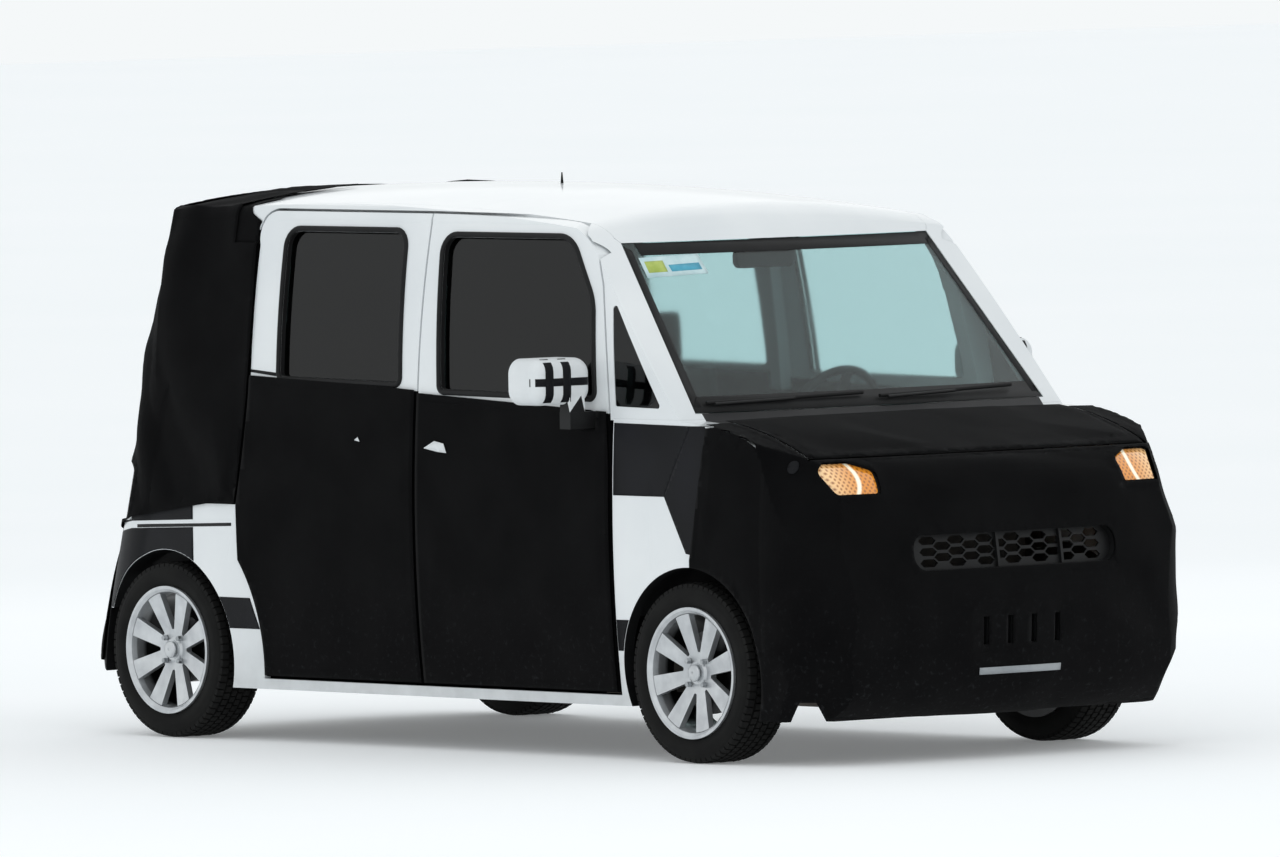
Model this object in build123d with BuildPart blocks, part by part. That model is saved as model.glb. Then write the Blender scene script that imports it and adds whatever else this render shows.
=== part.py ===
from build123d import *
import os
from math import cos, hypot, radians, sin, sqrt, tan, acos

# Tall five-door hatchback under a cloth disguise, in millimetres.
# The front faces -Y, the car's left is +X, up is +Z, and the ground under its middle is the origin.

# Running gear
WHEELBASE = 2520
TRACK = 1400
FRONT_AXLE_Y = -1164
REAR_AXLE_Y = FRONT_AXLE_Y + WHEELBASE
TYRE_RADIUS = 276
TYRE_WIDTH = 175
HUB_Z = TYRE_RADIUS
BEAD_RADIUS = 190
LIP_RADIUS = 201
BARREL_RADIUS = 178
SPOKES = 8
DISC_RADIUS = 128
FRONT_ARCH_RADIUS = 322
REAR_ARCH_RADIUS = 316
LINER_RADIUS = 330
LINER_WALL = 6
LINER_INNER_X = 440

# Sides: widest half width, its height, and how far the chin, the belt line and the roof rail lie inside it
HALF_WIDTH = 797.5
WIDEST_Z = 560
CHIN_TUCK = 32
BELT_TUCK = 11.5
RAIL_TUCK = 82.5

# Body outline on the centreline, seen from the side
ROOF_Z = 1735
CHIN_Z = 140
SILL_Z = 165
NOSE_Y = -1797
TAIL_Y = 1797
COWL_Y = -1200
COWL_Z = 1045
SCREEN_TOP_Y = -715
SCREEN_TOP_Z = 1603
BELT_Z = 1080
TAIL_WAIST_Y = 1695
TAIL_WAIST_Z = 735

# Roundness of the body: the crown's long axis lies far below, the nose and tail turn about upright axes
CROWN_RADIUS = 4435
CROWN_AXIS_Z = ROOF_Z - CROWN_RADIUS
CROWN_SWEEP = 18
NOSE_TURN_Y = 3400
TAIL_TURN_Y = -2600
TAIL_SLOPE = 0.28

# Depths below the outer surface of the disguise
CLOTH = 6
BODY_SKIN = 6.3
HEM_DEPTH = 26
DOOR_DEPTH = 66
FLANGE_DEPTH = 72
UPPER_DEPTH = 46
UPPER_FLANGE = 52
UPPER_Z = 1040
FRAME_DEPTH = 96
FENDER_DEPTH = 46
ROOF_DEPTH = 41
BONNET_DEPTH = 46
TAILGATE_DEPTH = 60
BUMPER_DEPTH = 50
SCREEN_GLASS = (9, 14)
DOOR_GLASS = (22, 27)

# Gaps
SEAM = 0.3
MOVING_GAP = 8
HEM_STEP = 10
FLANGE_LAP = 25
CLOTH_EDGE = 3

# Seams and openings, seen from the side
DOOR_BOTTOM_Z = 202
DOOR_TOP_Z = 1664
FRONT_SEAM_Y = -816
B_SEAM_Y = 115.5
REAR_SEAM_Y = 937
FENDER_FRONT_Y = -1506
BONNET_REAR_Y = -1222
BONNET_FRONT_Z = 932
BONNET_HALF = 690
ROOF_HALF = 640
ROOF_REAR_Y = 1397
TAILGATE_FRONT_Y = 1404
TAILGATE_HALF = 632
TAILGATE_BOTTOM_Z = 630
REAR_BUMPER_Y = 1684
REAR_BUMPER_TOP_Z = 620
REAR_BUMPER_BOTTOM_Z = 200
SCREEN_BASE_HALF = 712
SCREEN_TOP_HALF = 625
SCREEN_BASE_Z = 1062
SCREEN_EDGE_Z = 1574

# Hinges and steering
HINGE_BACK = 45
HINGE_INBOARD = 12
FRONT_HINGE_Y = FRONT_SEAM_Y + MOVING_GAP / 2 + HINGE_BACK
REAR_HINGE_Y = B_SEAM_Y + MOVING_GAP / 2 + HINGE_BACK
HINGE_X = HALF_WIDTH - HINGE_INBOARD
KINGPIN_LOW = (655, 190)
KINGPIN_HIGH = (530, 700)

# Cabin
FLOOR_Z = 225
FLOOR_SHEET = 30
FLOOR_HALF = ROOF_HALF - SEAM
REAR_FLOOR_Z = 420
HEEL_Y = 700
BULKHEAD_Y = -1150
BULKHEAD_SHEET = 20
RAIL_X = (380, 430)
RAIL_Z = (300, 380)
SEAT_X = 370
WHEEL_CENTRE = (370, -500, 985)
WHEEL_TILT = 27
WHEEL_RIM_RADIUS = 182


# Paths are closed, run counter-clockwise, and list (middle point of an arc or None, end point).
def arc_centre(a, b, c):
    """Centre of the circle through three points."""
    d = 2 * (a[0] * (b[1] - c[1]) + b[0] * (c[1] - a[1]) + c[0] * (a[1] - b[1]))
    sa, sb, sc = (p[0] ** 2 + p[1] ** 2 for p in (a, b, c))
    x = (sa * (b[1] - c[1]) + sb * (c[1] - a[1]) + sc * (a[1] - b[1])) / d
    y = (sa * (c[0] - b[0]) + sb * (a[0] - c[0]) + sc * (b[0] - a[0])) / d
    return x, y


def left_normal(path, i, at):
    """Unit normal to the left of one segment of a path, at one of its points."""
    start = path[i - 1][1]
    middle, end = path[i]
    along = (end[0] - start[0], end[1] - start[1])
    if middle is not None:
        centre = arc_centre(start, middle, end)
        first = (middle[0] - start[0], middle[1] - start[1])
        turn = first[0] * (end[1] - middle[1]) - first[1] * (end[0] - middle[0])
        way = 1 if turn > 0 else -1
        along = (way * (centre[1] - at[1]), way * (at[0] - centre[0]))
    size = hypot(*along)
    return -along[1] / size, along[0] / size


def inset_path(path, inset):
    """The path moved inwards: corners along their bisector, arcs about their own centre."""
    moved = []
    for i, (middle, end) in enumerate(path):
        n1 = left_normal(path, i, end)
        n2 = left_normal(path, (i + 1) % len(path), end)
        share = inset / (1 + n1[0] * n2[0] + n1[1] * n2[1])
        corner = (end[0] + share * (n1[0] + n2[0]), end[1] + share * (n1[1] + n2[1]))
        if middle is not None:
            n = left_normal(path, i, middle)
            middle = (middle[0] + inset * n[0], middle[1] + inset * n[1])
        moved.append((middle, corner))
    return moved


def outline(plane, path, inset=0, shift=(0, 0)):
    """Face of a path on a plane whose origin lies at the shift."""
    path = inset_path(path, inset)
    with BuildSketch(plane) as sketch:
        with BuildLine():
            for i, (middle, end) in enumerate(path):
                start = path[i - 1][1]
                points = [(p[0] - shift[0], p[1] - shift[1]) for p in (start, middle or start, end)]
                if middle is None:
                    Line(points[0], points[2])
                else:
                    ThreePointArc(*points)
        make_face()
    return sketch.sketch


def corners(*points):
    """Path of straight runs through the points."""
    return [(None, p) for p in points]


def rounded(*corner_list):
    """Path through corners given as (first, second coordinate, radius), with each corner turned on its radius."""
    path = []
    for i, (x, y, radius) in enumerate(corner_list):
        before, after = corner_list[i - 1], corner_list[(i + 1) % len(corner_list)]
        back = (before[0] - x, before[1] - y)
        ahead = (after[0] - x, after[1] - y)
        back = (back[0] / hypot(*back), back[1] / hypot(*back))
        ahead = (ahead[0] / hypot(*ahead), ahead[1] / hypot(*ahead))
        half_angle = acos(back[0] * ahead[0] + back[1] * ahead[1]) / 2
        reach = radius / tan(half_angle)
        middle = (back[0] + ahead[0], back[1] + ahead[1])
        nearest = (radius / sin(half_angle) - radius) / hypot(*middle)
        path.append((None, (x + back[0] * reach, y + back[1] * reach)))
        path.append(((x + middle[0] * nearest, y + middle[1] * nearest), (x + ahead[0] * reach, y + ahead[1] * reach)))
    return path


def mirrored(half):
    """Path from half an outline, given upwards on the right of the centreline."""
    back = []
    for i in range(len(half) - 1, 0, -1):
        middle = half[i][0]
        end = half[i - 1][1]
        back.append((None if middle is None else (-middle[0], middle[1]), (-end[0], end[1])))
    first_left = [(None, (-half[-1][1][0], half[-1][1][1]))] if half[-1][1][0] else []
    return half + first_left + back


def top_path():
    """Roof and its rounded front end, closed far below and open above the bonnet."""
    return [
        (None, (2000, 60)),
        (None, (2000, ROOF_Z - 85)),
        (None, (1395, ROOF_Z - 19)),
        ((697, ROOF_Z + 4.6), (0, ROOF_Z - 7)),
        ((-280, ROOF_Z - 22.9), (-560, ROOF_Z - 47)),
        ((-645, ROOF_Z - 73), (SCREEN_TOP_Y, SCREEN_TOP_Z)),
        (None, (-2100, SCREEN_TOP_Z)),
        (None, (-2100, 60)),
    ]


def nose_path():
    """Chin, bumper, bonnet and windscreen, closed behind and above."""
    lean = (SCREEN_TOP_Y - COWL_Y) / (SCREEN_TOP_Z - COWL_Z)
    return [
        (None, (NOSE_TURN_Y - 200, CHIN_Z)),
        (None, (NOSE_TURN_Y - 200, 2000)),
        (None, (SCREEN_TOP_Y + lean * (2000 - SCREEN_TOP_Z), 2000)),
        (None, (COWL_Y, COWL_Z)),
        ((COWL_Y - 240, COWL_Z - 36), (-1660, COWL_Z - 115)),
        ((-1722, COWL_Z - 168), (NOSE_Y + 40, COWL_Z - 255)),
        ((NOSE_Y, 560), (NOSE_Y + 2, 330)),
        ((NOSE_Y + 32, 200), (NOSE_Y + 107, CHIN_Z)),
    ]


def tail_path():
    """Rear bumper, tailgate and roof end, closed in front and above."""
    return [
        (None, (TAIL_Y - 107, CHIN_Z)),
        ((TAIL_Y - 27, 215), (TAIL_Y, 330)),
        (None, (TAIL_Y, 520)),
        ((TAIL_Y - 27, 640), (TAIL_WAIST_Y, TAIL_WAIST_Z)),
        ((TAIL_WAIST_Y - 115, 1150), (TAIL_WAIST_Y - 175, ROOF_Z - 135)),
        ((TAIL_WAIST_Y - 210, ROOF_Z - 65), (TAIL_WAIST_Y - 275, ROOF_Z - 23)),
        (None, (1300, ROOF_Z + 35)),
        (None, (1300, 2000)),
        (None, (TAIL_TURN_Y + 200, 2000)),
        (None, (TAIL_TURN_Y + 200, CHIN_Z)),
    ]


def side_path(rounded):
    """Cross-section of the sides, open above the roof's crown."""
    half = [
        (None, (HALF_WIDTH - CHIN_TUCK, CHIN_Z)),
        ((HALF_WIDTH, WIDEST_Z), (HALF_WIDTH - BELT_TUCK, BELT_Z)),
    ]
    if rounded:
        half += [
            ((HALF_WIDTH - 36.5, 1360), (HALF_WIDTH - RAIL_TUCK, ROOF_Z - 105)),
            ((HALF_WIDTH - 93.5, ROOF_Z - 70), (HALF_WIDTH - 129.5, ROOF_Z - 47)),
            (None, (500, ROOF_Z + 25)),
        ]
    else:
        half += [((HALF_WIDTH - 36.5, 1360), (HALF_WIDTH - 95, ROOF_Z - 40)), (None, (500, ROOF_Z + 125))]
    return mirrored(half + [(None, (0, ROOF_Z + 165))])


def front_corner_path():
    """Plan of the sides and front corners."""
    half = [
        (None, (HALF_WIDTH - 12, -1500)),
        ((HALF_WIDTH - 3, -1250), (HALF_WIDTH, -1000)),
        (None, (HALF_WIDTH + 60, -700)),
        (None, (HALF_WIDTH + 60, 2200)),
    ]
    nose = [(None, (0, NOSE_Y - 103)), (None, (590, NOSE_Y + 22)), ((HALF_WIDTH - 65, NOSE_Y + 107), half[0][1])]
    right = nose + half[1:]
    left = [
        (None, (-HALF_WIDTH - 60, 2200)),
        (None, (-HALF_WIDTH - 60, -700)),
        (None, (-HALF_WIDTH, -1000)),
        ((-HALF_WIDTH + 3, -1250), (-HALF_WIDTH + 12, -1500)),
        ((-HALF_WIDTH + 65, NOSE_Y + 107), (-590, NOSE_Y + 22)),
    ]
    return right + left


def rear_corner_path():
    """Plan of the sides and rear corners, at the height of the tail's waist."""
    return [
        (None, (HALF_WIDTH + 60, -2300)),
        (None, (HALF_WIDTH + 60, 900)),
        (None, (HALF_WIDTH, 1000)),
        ((HALF_WIDTH - 4, 1220), (HALF_WIDTH - 14, 1430)),
        ((HALF_WIDTH - 55, TAIL_WAIST_Y - 94), (620, TAIL_WAIST_Y - 8)),
        (None, (0, TAIL_WAIST_Y + 85)),
        (None, (-620, TAIL_WAIST_Y - 8)),
        ((-HALF_WIDTH + 55, TAIL_WAIST_Y - 94), (-HALF_WIDTH + 14, 1430)),
        ((-HALF_WIDTH + 4, 1220), (-HALF_WIDTH, 1000)),
        (None, (-HALF_WIDTH - 60, 900)),
        (None, (-HALF_WIDTH - 60, -2300)),
    ]


def top_form(inset):
    lean = radians(CROWN_SWEEP)
    plane = Plane(origin=(0, 0, CROWN_AXIS_Z), x_dir=(0, 1, 0), z_dir=(cos(lean), 0, sin(lean)))
    face = outline(plane, top_path(), inset, (0, CROWN_AXIS_Z))
    with BuildPart() as form:
        revolve(face, axis=Axis((0, 0, CROWN_AXIS_Z), (0, 1, 0)), revolution_arc=2 * CROWN_SWEEP)
    return form.part


def end_form(path, turn_y, inset):
    plane = Plane(origin=(0, turn_y, 0), x_dir=(0, 1, 0), z_dir=(1, 0, 0))
    face = outline(plane, path, inset, (turn_y, 0))
    with BuildPart() as form:
        revolve(face, axis=Axis((0, turn_y, 0), (0, 0, 1)), revolution_arc=360)
    return form.part


def side_form(inset):
    face = outline(Plane.XZ, side_path(inset < HEM_DEPTH + 1), inset)
    with BuildPart() as form:
        extrude(face, amount=2100, both=True)
    return form.part


def corner_form(path, inset, slope):
    face = outline(Plane.XY.offset(TAIL_WAIST_Z), path, inset)
    with BuildPart() as form:
        extrude(face, amount=1400, dir=(0, -slope, 1), both=True)
    return form.part


# Stretches where the cloth is pulled flat over the nose's corners: unit normal and distance from the origin
UPPER_STRETCH = ((0.7178, -0.6334, 0.2892), 1785)
LOWER_STRETCH = ((0.6525, -0.6246, -0.4292), 1405)


def stretch_form(stretch, side, inset):
    """Everything behind one flat stretch."""
    (nx, ny, nz), far = stretch
    normal = Vector(side * nx, ny, nz).normalized()
    with BuildPart() as form:
        with BuildSketch(Plane(origin=normal * (far - inset), x_dir=Vector(0, 0, 1).cross(normal), z_dir=normal)):
            Rectangle(9000, 9000)
        extrude(amount=-9000)
    return form.part


HULLS = {}


def hull(inset):
    """The whole body's outer form, moved inwards."""
    if inset not in HULLS:
        with BuildPart() as body:
            add(side_form(inset))
            add(corner_form(front_corner_path(), inset, 0), mode=Mode.INTERSECT)
            add(corner_form(rear_corner_path(), inset, TAIL_SLOPE), mode=Mode.INTERSECT)
            add(end_form(nose_path(), NOSE_TURN_Y, inset), mode=Mode.INTERSECT)
            add(end_form(tail_path(), TAIL_TURN_Y, inset), mode=Mode.INTERSECT)
            add(top_form(inset), mode=Mode.INTERSECT)
            for side in (1, -1):
                add(stretch_form(UPPER_STRETCH, side, inset), mode=Mode.INTERSECT)
                add(stretch_form(LOWER_STRETCH, side, inset), mode=Mode.INTERSECT)
        HULLS[inset] = body.part
    return HULLS[inset]


def block(low, high):
    """Box between two corners."""
    middle = [(a + b) / 2 for a, b in zip(low, high)]
    size = [b - a for a, b in zip(low, high)]
    return Pos(*middle) * Box(*size, mode=Mode.PRIVATE)


def side_prism(path, inset=0, side=1, near=0, far=1000):
    """Side-view path carried outwards through one side of the body."""
    face = outline(Plane.YZ.offset(side * near), path, inset)
    with BuildPart() as prism:
        extrude(face, amount=side * (far - near))
    return prism.part


def front_prism(path, front_y, rear_y):
    """Front-view path, in X and Z, carried backwards."""
    face = outline(Plane.XZ.offset(-front_y), path)
    with BuildPart() as prism:
        extrude(face, amount=-(rear_y - front_y))
    return prism.part


def pair_prism(path, front_y, rear_y):
    """Front-view path on the car's left, carried backwards, with its mirror image."""
    with BuildPart() as pair:
        add(front_prism(path, front_y, rear_y))
        mirror(about=Plane.YZ)
    return pair.part


def rod(start, end, radius):
    """Round bar between two points."""
    start, end = Vector(*start), Vector(*end)
    with BuildPart() as bar:
        with BuildSketch(Plane(origin=start, z_dir=end - start)):
            Circle(radius)
        extrude(amount=(end - start).length)
    return bar.part


def arch(radius, axle_y, side, near=0, far=1000):
    """Round wheel arch, through one side."""
    return rod((side * near, axle_y, HUB_Z), (side * far, axle_y, HUB_Z), radius)


def save(piece, label):
    piece.part.label = label
    export_step(piece.part, f"parts/{label}.step")


# Seams of the doors and edges of the windows, seen from the side
BELT_RISE = ((-822, 1078), (-390, 1090), (113, 1115), (522, 1138), (930, 1155))


def front_door_path():
    return [
        (None, (B_SEAM_Y, DOOR_BOTTOM_Z)),
        (None, (B_SEAM_Y, DOOR_TOP_Z - 1)),
        ((-190, DOOR_TOP_Z - 6), (-480, DOOR_TOP_Z - 18)),
        ((FRONT_SEAM_Y + 199, DOOR_TOP_Z - 57), (FRONT_SEAM_Y + 120, 1545)),
        (None, (FRONT_SEAM_Y + 81, 1450)),
        ((FRONT_SEAM_Y + 45, 1265), (FRONT_SEAM_Y + 18, BELT_Z)),
        (None, (FRONT_SEAM_Y, 900)),
        (None, (FRONT_SEAM_Y, DOOR_BOTTOM_Z)),
    ]


def rear_door_path():
    clear = REAR_ARCH_RADIUS + 152
    low_y = REAR_AXLE_Y - sqrt(clear ** 2 - (HUB_Z - DOOR_BOTTOM_Z) ** 2)
    middle_y = REAR_AXLE_Y - sqrt(clear ** 2 - 114 ** 2)
    return [
        (None, (low_y, DOOR_BOTTOM_Z)),
        ((middle_y, HUB_Z + 114), (REAR_SEAM_Y + 51, 568)),
        (None, (REAR_SEAM_Y + 54, 740)),
        ((REAR_SEAM_Y + 13, 950), (REAR_SEAM_Y - 4, 1158)),
        (None, (REAR_SEAM_Y, 1553)),
        ((REAR_SEAM_Y - 16, DOOR_TOP_Z - 24), (REAR_SEAM_Y - 66, DOOR_TOP_Z)),
        (None, (B_SEAM_Y, DOOR_TOP_Z - 1)),
        (None, (B_SEAM_Y, DOOR_BOTTOM_Z)),
    ]


FRONT_WINDOW = rounded((3, 1120, 14), (40, 1588, 48), (-560, 1588, 110), (-689, 1400, 160), (-721, 1111, 14))
REAR_WINDOW = rounded((784, 1147, 14), (798, 1598, 48), (234, 1598, 48), (209, 1138, 14))
QUARTER_WINDOW = rounded((-826, 1082, 8), (-785, 1420, 12), (-1040, 1078, 8))
BELOW_BELT = corners((1100, 100), (1100, 1160), *reversed(BELT_RISE), (-1000, 1076), (-1000, 100))

# name, side (+1 is the car's left), seam, window, hinge line (None where the door slides)
DOORS = [
    ("front_door_left", 1, front_door_path(), FRONT_WINDOW, FRONT_HINGE_Y),
    ("front_door_right", -1, front_door_path(), FRONT_WINDOW, FRONT_HINGE_Y),
    ("rear_door_left", 1, rear_door_path(), REAR_WINDOW, REAR_HINGE_Y),
    ("rear_door_right", -1, rear_door_path(), REAR_WINDOW, None),
]
DOOR_CLEAR = 6


def hinge_reach(half_width, depth):
    """Room that a door's inner front corner needs about its hinge line, where the body is so wide."""
    return sqrt((HINGE_BACK - HEM_STEP) ** 2 + (HINGE_X - half_width + depth) ** 2) + DOOR_CLEAR


SILL_REACH = hinge_reach(HALF_WIDTH - CHIN_TUCK, DOOR_DEPTH)
WAIST_REACH = hinge_reach(HALF_WIDTH, DOOR_DEPTH)
BELT_REACH = hinge_reach(HALF_WIDTH - BELT_TUCK, DOOR_DEPTH)
PILLAR_REACH = hinge_reach(HALF_WIDTH - BELT_TUCK, UPPER_DEPTH)
RAIL_REACH = hinge_reach(HALF_WIDTH - RAIL_TUCK, UPPER_DEPTH)
# Rooms about a hinge line: lower height and radius, upper height and radius
HINGE_RELIEF = [(DOOR_BOTTOM_Z, SILL_REACH, WIDEST_Z, WAIST_REACH), (WIDEST_Z, WAIST_REACH, UPPER_Z, BELT_REACH)]
PILLAR_RELIEF = [(UPPER_Z, PILLAR_REACH, DOOR_TOP_Z, RAIL_REACH)]


def hinge_room(side, hinge_y, low_z, low_radius, high_z, high_radius):
    """Tapered room for the swing of a door's front corner."""
    with BuildPart() as space:
        with Locations((side * HINGE_X, hinge_y, low_z)):
            Cone(low_radius, high_radius, high_z - low_z, align=(Align.CENTER, Align.CENTER, Align.MIN))
    return space.part


def door_layer(path, side, outer, inner, inset, low_z, high_z):
    """Part of a door between two depths and two heights."""
    with BuildPart() as layer:
        add(side_prism(path, inset, side, ROOF_HALF + MOVING_GAP))
        add(block((-1000, -1000, low_z), (1000, 1200, high_z)), mode=Mode.INTERSECT)
        add(hull(outer), mode=Mode.INTERSECT)
        add(hull(inner), mode=Mode.SUBTRACT)
    return layer.part


def both_sides(low, high):
    """A block and its mirror image."""
    return [block(low, high), block((-high[0], low[1], low[2]), (-low[0], high[1], high[2]))]


MIRROR_ARM_Y = (-742, -692)
MIRROR_ARM_Z = (1014, 1066)
MIRROR_HOLE_LOW = (600, MIRROR_ARM_Y[0] - 3, MIRROR_ARM_Z[0] - 3)
MIRROR_HOLE_HIGH = (900, MIRROR_ARM_Y[1] + 3, MIRROR_ARM_Z[1] + 3)
os.makedirs("parts", exist_ok=True)

# Doors: an outer skin whose hem laps a narrower inner shell, with a thinner frame round the window
for name, side, path, window, hinge_y in DOORS:
    with BuildPart() as door:
        add(door_layer(path, side, BODY_SKIN, HEM_DEPTH, MOVING_GAP / 2, 0, 2000))
        add(door_layer(path, side, HEM_DEPTH, DOOR_DEPTH, MOVING_GAP / 2 + HEM_STEP, 0, UPPER_Z))
        add(door_layer(path, side, HEM_DEPTH, UPPER_DEPTH, MOVING_GAP / 2 + HEM_STEP, UPPER_Z, 2000))
        add(side_prism(window, 0, side, 600), mode=Mode.SUBTRACT)
    save(door, name)
    with BuildPart() as glass:
        add(side_prism(window, SEAM, side, 600))
        add(hull(DOOR_GLASS[0]), mode=Mode.INTERSECT)
        add(hull(DOOR_GLASS[1]), mode=Mode.SUBTRACT)
    save(glass, name + "_glass")
    with BuildPart() as cover:
        add(side_prism(path, MOVING_GAP / 2 + CLOTH_EDGE, side, 600))
        add(side_prism(BELOW_BELT, 0, side, 600), mode=Mode.INTERSECT)
        add(hull(0), mode=Mode.INTERSECT)
        add(hull(CLOTH), mode=Mode.SUBTRACT)
        for pocket in both_sides(MIRROR_HOLE_LOW, MIRROR_HOLE_HIGH):
            add(pocket, mode=Mode.SUBTRACT)
    save(cover, name + "_cover")
    print(name, len(door.solids()), len(glass.solids()), len(cover.solids()))

# Front view of what the windscreen and roof leave to the side frames
SCREEN_SIDE = corners(
    (BONNET_HALF, 0), (BONNET_HALF, SCREEN_BASE_Z), (SCREEN_BASE_HALF + SEAM, SCREEN_BASE_Z),
    (SCREEN_TOP_HALF + SEAM, SCREEN_EDGE_Z + SEAM), (ROOF_HALF, SCREEN_EDGE_Z + 16), (ROOF_HALF, 1900))
SCREEN_SIDE = mirrored(SCREEN_SIDE)
LAMP_PATH = rounded((500, 824, 10), (650, 824, 16), (686, 916, 26), (560, 916, 40), (492, 892, 14))
LAMP_REAR_Y = -1500
TAIL_LAMP_PATH = rounded((652, 680, 14), (770, 680, 14), (770, 860, 30), (652, 860, 14))
TAIL_LAMP_Y = 1450


def kingpin(side, height=0):
    """Plane across one kingpin, its normal up along it, at a distance above the lower ball."""
    low = Vector(side * KINGPIN_LOW[0], FRONT_AXLE_Y, KINGPIN_LOW[1])
    high = Vector(side * KINGPIN_HIGH[0], FRONT_AXLE_Y, KINGPIN_HIGH[1])
    along = (high - low).normalized()
    return Plane(origin=low + along * height, x_dir=(0, 1, 0), z_dir=along)


def pin_round(side, start, end, radius):
    """Round piece about one kingpin."""
    with BuildPart() as piece:
        with BuildSketch(kingpin(side, start)):
            Circle(radius)
        extrude(amount=end - start)
    return piece.part


# Side frames: sill, screen pillar, roof rail, rear quarter and the flange that the doors close on
FRAME_PATH = corners(
    (1250, SILL_Z), (1250, 400), (REAR_BUMPER_Y, 400), (REAR_BUMPER_Y, REAR_BUMPER_TOP_Z + 2),
    (1900, REAR_BUMPER_TOP_Z + 2), (1900, 1900), (-1400, 1900), (-1400, COWL_Z + SEAM),
    (FRONT_SEAM_Y - 54, COWL_Z + SEAM), (FRONT_SEAM_Y - 54, SILL_Z))
FENDER_ROOM = corners((FRONT_SEAM_Y - 4, 0), (FRONT_SEAM_Y - 4, COWL_Z + SEAM), (-1400, COWL_Z + SEAM), (-1400, 0))


def room(path, side, inset, depth, low_z=0, high_z=2000):
    """Space that a panel takes out of the frame: its outline down to a depth."""
    with BuildPart() as space:
        add(side_prism(path, inset, side, 600))
        add(block((-1000, -2000, low_z), (1000, 2000, high_z)), mode=Mode.INTERSECT)
        add(hull(depth), mode=Mode.SUBTRACT)
    return space.part


# Rubber stops on the sill, near each door's lock edge
BUFFER_Y = {"front": 30, "rear": 800}
BUFFER_LENGTH = 50


def buffer(side, y):
    """Short stop that a closed door rests against."""
    near, far = sorted((side * (FLOOR_HALF + 20), side * HALF_WIDTH))
    with BuildPart() as stop:
        add(block((near, y, DOOR_BOTTOM_Z + HEM_STEP + 6), (far, y + BUFFER_LENGTH, DOOR_BOTTOM_Z + FLANGE_LAP + 4)))
        add(hull(DOOR_DEPTH + SEAM), mode=Mode.INTERSECT)
        add(hull(FRAME_DEPTH), mode=Mode.SUBTRACT)
    return stop.part


def opening(path, side):
    """Space for a door: deep below the belt, shallower round the window."""
    with BuildPart() as space:
        add(room(path, side, -MOVING_GAP / 2, UPPER_FLANGE, UPPER_Z))
        add(room(path, side, -MOVING_GAP / 2, FLANGE_DEPTH, 0, UPPER_Z))
    return space.part


LINER_ROOM = LINER_RADIUS + LINER_WALL + SEAM
RAIL_EDGE_LOW = (ROOF_HALF - 10, 280, DOOR_TOP_Z - 34)
RAIL_EDGE_HIGH = (ROOF_HALF + 20, 840, DOOR_TOP_Z - 22)
for side, label in ((1, "side_frame_left"), (-1, "side_frame_right")):
    doors = [(path, hinge_y) for name, s, path, window, hinge_y in DOORS if s == side]
    with BuildPart() as frame:
        add(side_prism(FRAME_PATH, 0, side, 600))
        add(arch(REAR_ARCH_RADIUS, REAR_AXLE_Y, side), mode=Mode.SUBTRACT)
        add(arch(LINER_ROOM, FRONT_AXLE_Y, side), mode=Mode.SUBTRACT)
        add(hull(BODY_SKIN), mode=Mode.INTERSECT)
        add(hull(FRAME_DEPTH), mode=Mode.SUBTRACT)
        add(block((-ROOF_HALF, -600, 0), (ROOF_HALF, 2000, 2000)), mode=Mode.SUBTRACT)
        add(front_prism(SCREEN_SIDE, -1500, -600), mode=Mode.SUBTRACT)
        add(room(FENDER_ROOM, side, 0, FENDER_DEPTH + SEAM), mode=Mode.SUBTRACT)
        for path, hinge_y in doors:
            add(opening(path, side), mode=Mode.SUBTRACT)
            add(side_prism(path, FLANGE_LAP, side, 500), mode=Mode.SUBTRACT)
            if hinge_y is None:
                low, high = DOOR_BOTTOM_Z + FLANGE_LAP, DOOR_TOP_Z - FLANGE_LAP - 1
                across = corners((B_SEAM_Y + 60, low), (B_SEAM_Y + 60, high), (B_SEAM_Y - 60, high), (B_SEAM_Y - 60, low))
                add(side_prism(across, 0, side), mode=Mode.SUBTRACT)
            else:
                for stretch in HINGE_RELIEF if hinge_y == FRONT_HINGE_Y else HINGE_RELIEF + PILLAR_RELIEF:
                    add(hinge_room(side, hinge_y, *stretch), mode=Mode.SUBTRACT)
        add(side_prism(QUARTER_WINDOW, 0, side, 600), mode=Mode.SUBTRACT)
        add(pair_prism(TAIL_LAMP_PATH, TAIL_LAMP_Y, 1900), mode=Mode.SUBTRACT)
        for corner in both_sides(RAIL_EDGE_LOW, RAIL_EDGE_HIGH):
            add(corner, mode=Mode.SUBTRACT)
        for name, s, path, window, hinge_y in DOORS:
            if s == side:
                add(buffer(side, BUFFER_Y[name.split("_")[0]]))
    save(frame, label)
    print(label, [(round(x.volume), x.bounding_box()) for x in frame.solids()])

# Roof, windscreen and the small fixed windows ahead of the front doors
with BuildPart() as roof:
    add(block((-ROOF_HALF + SEAM, -900, 1500), (ROOF_HALF - SEAM, ROOF_REAR_Y, 1900)))
    add(front_prism(mirrored(corners((SCREEN_TOP_HALF - 1, SCREEN_EDGE_Z + SEAM), (ROOF_HALF - 1, SCREEN_EDGE_Z + 17),
                                     (ROOF_HALF, 1900))), -900, ROOF_REAR_Y), mode=Mode.INTERSECT)
    add(hull(BODY_SKIN), mode=Mode.INTERSECT)
    add(hull(ROOF_DEPTH), mode=Mode.SUBTRACT)
save(roof, "roof_panel")

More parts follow.
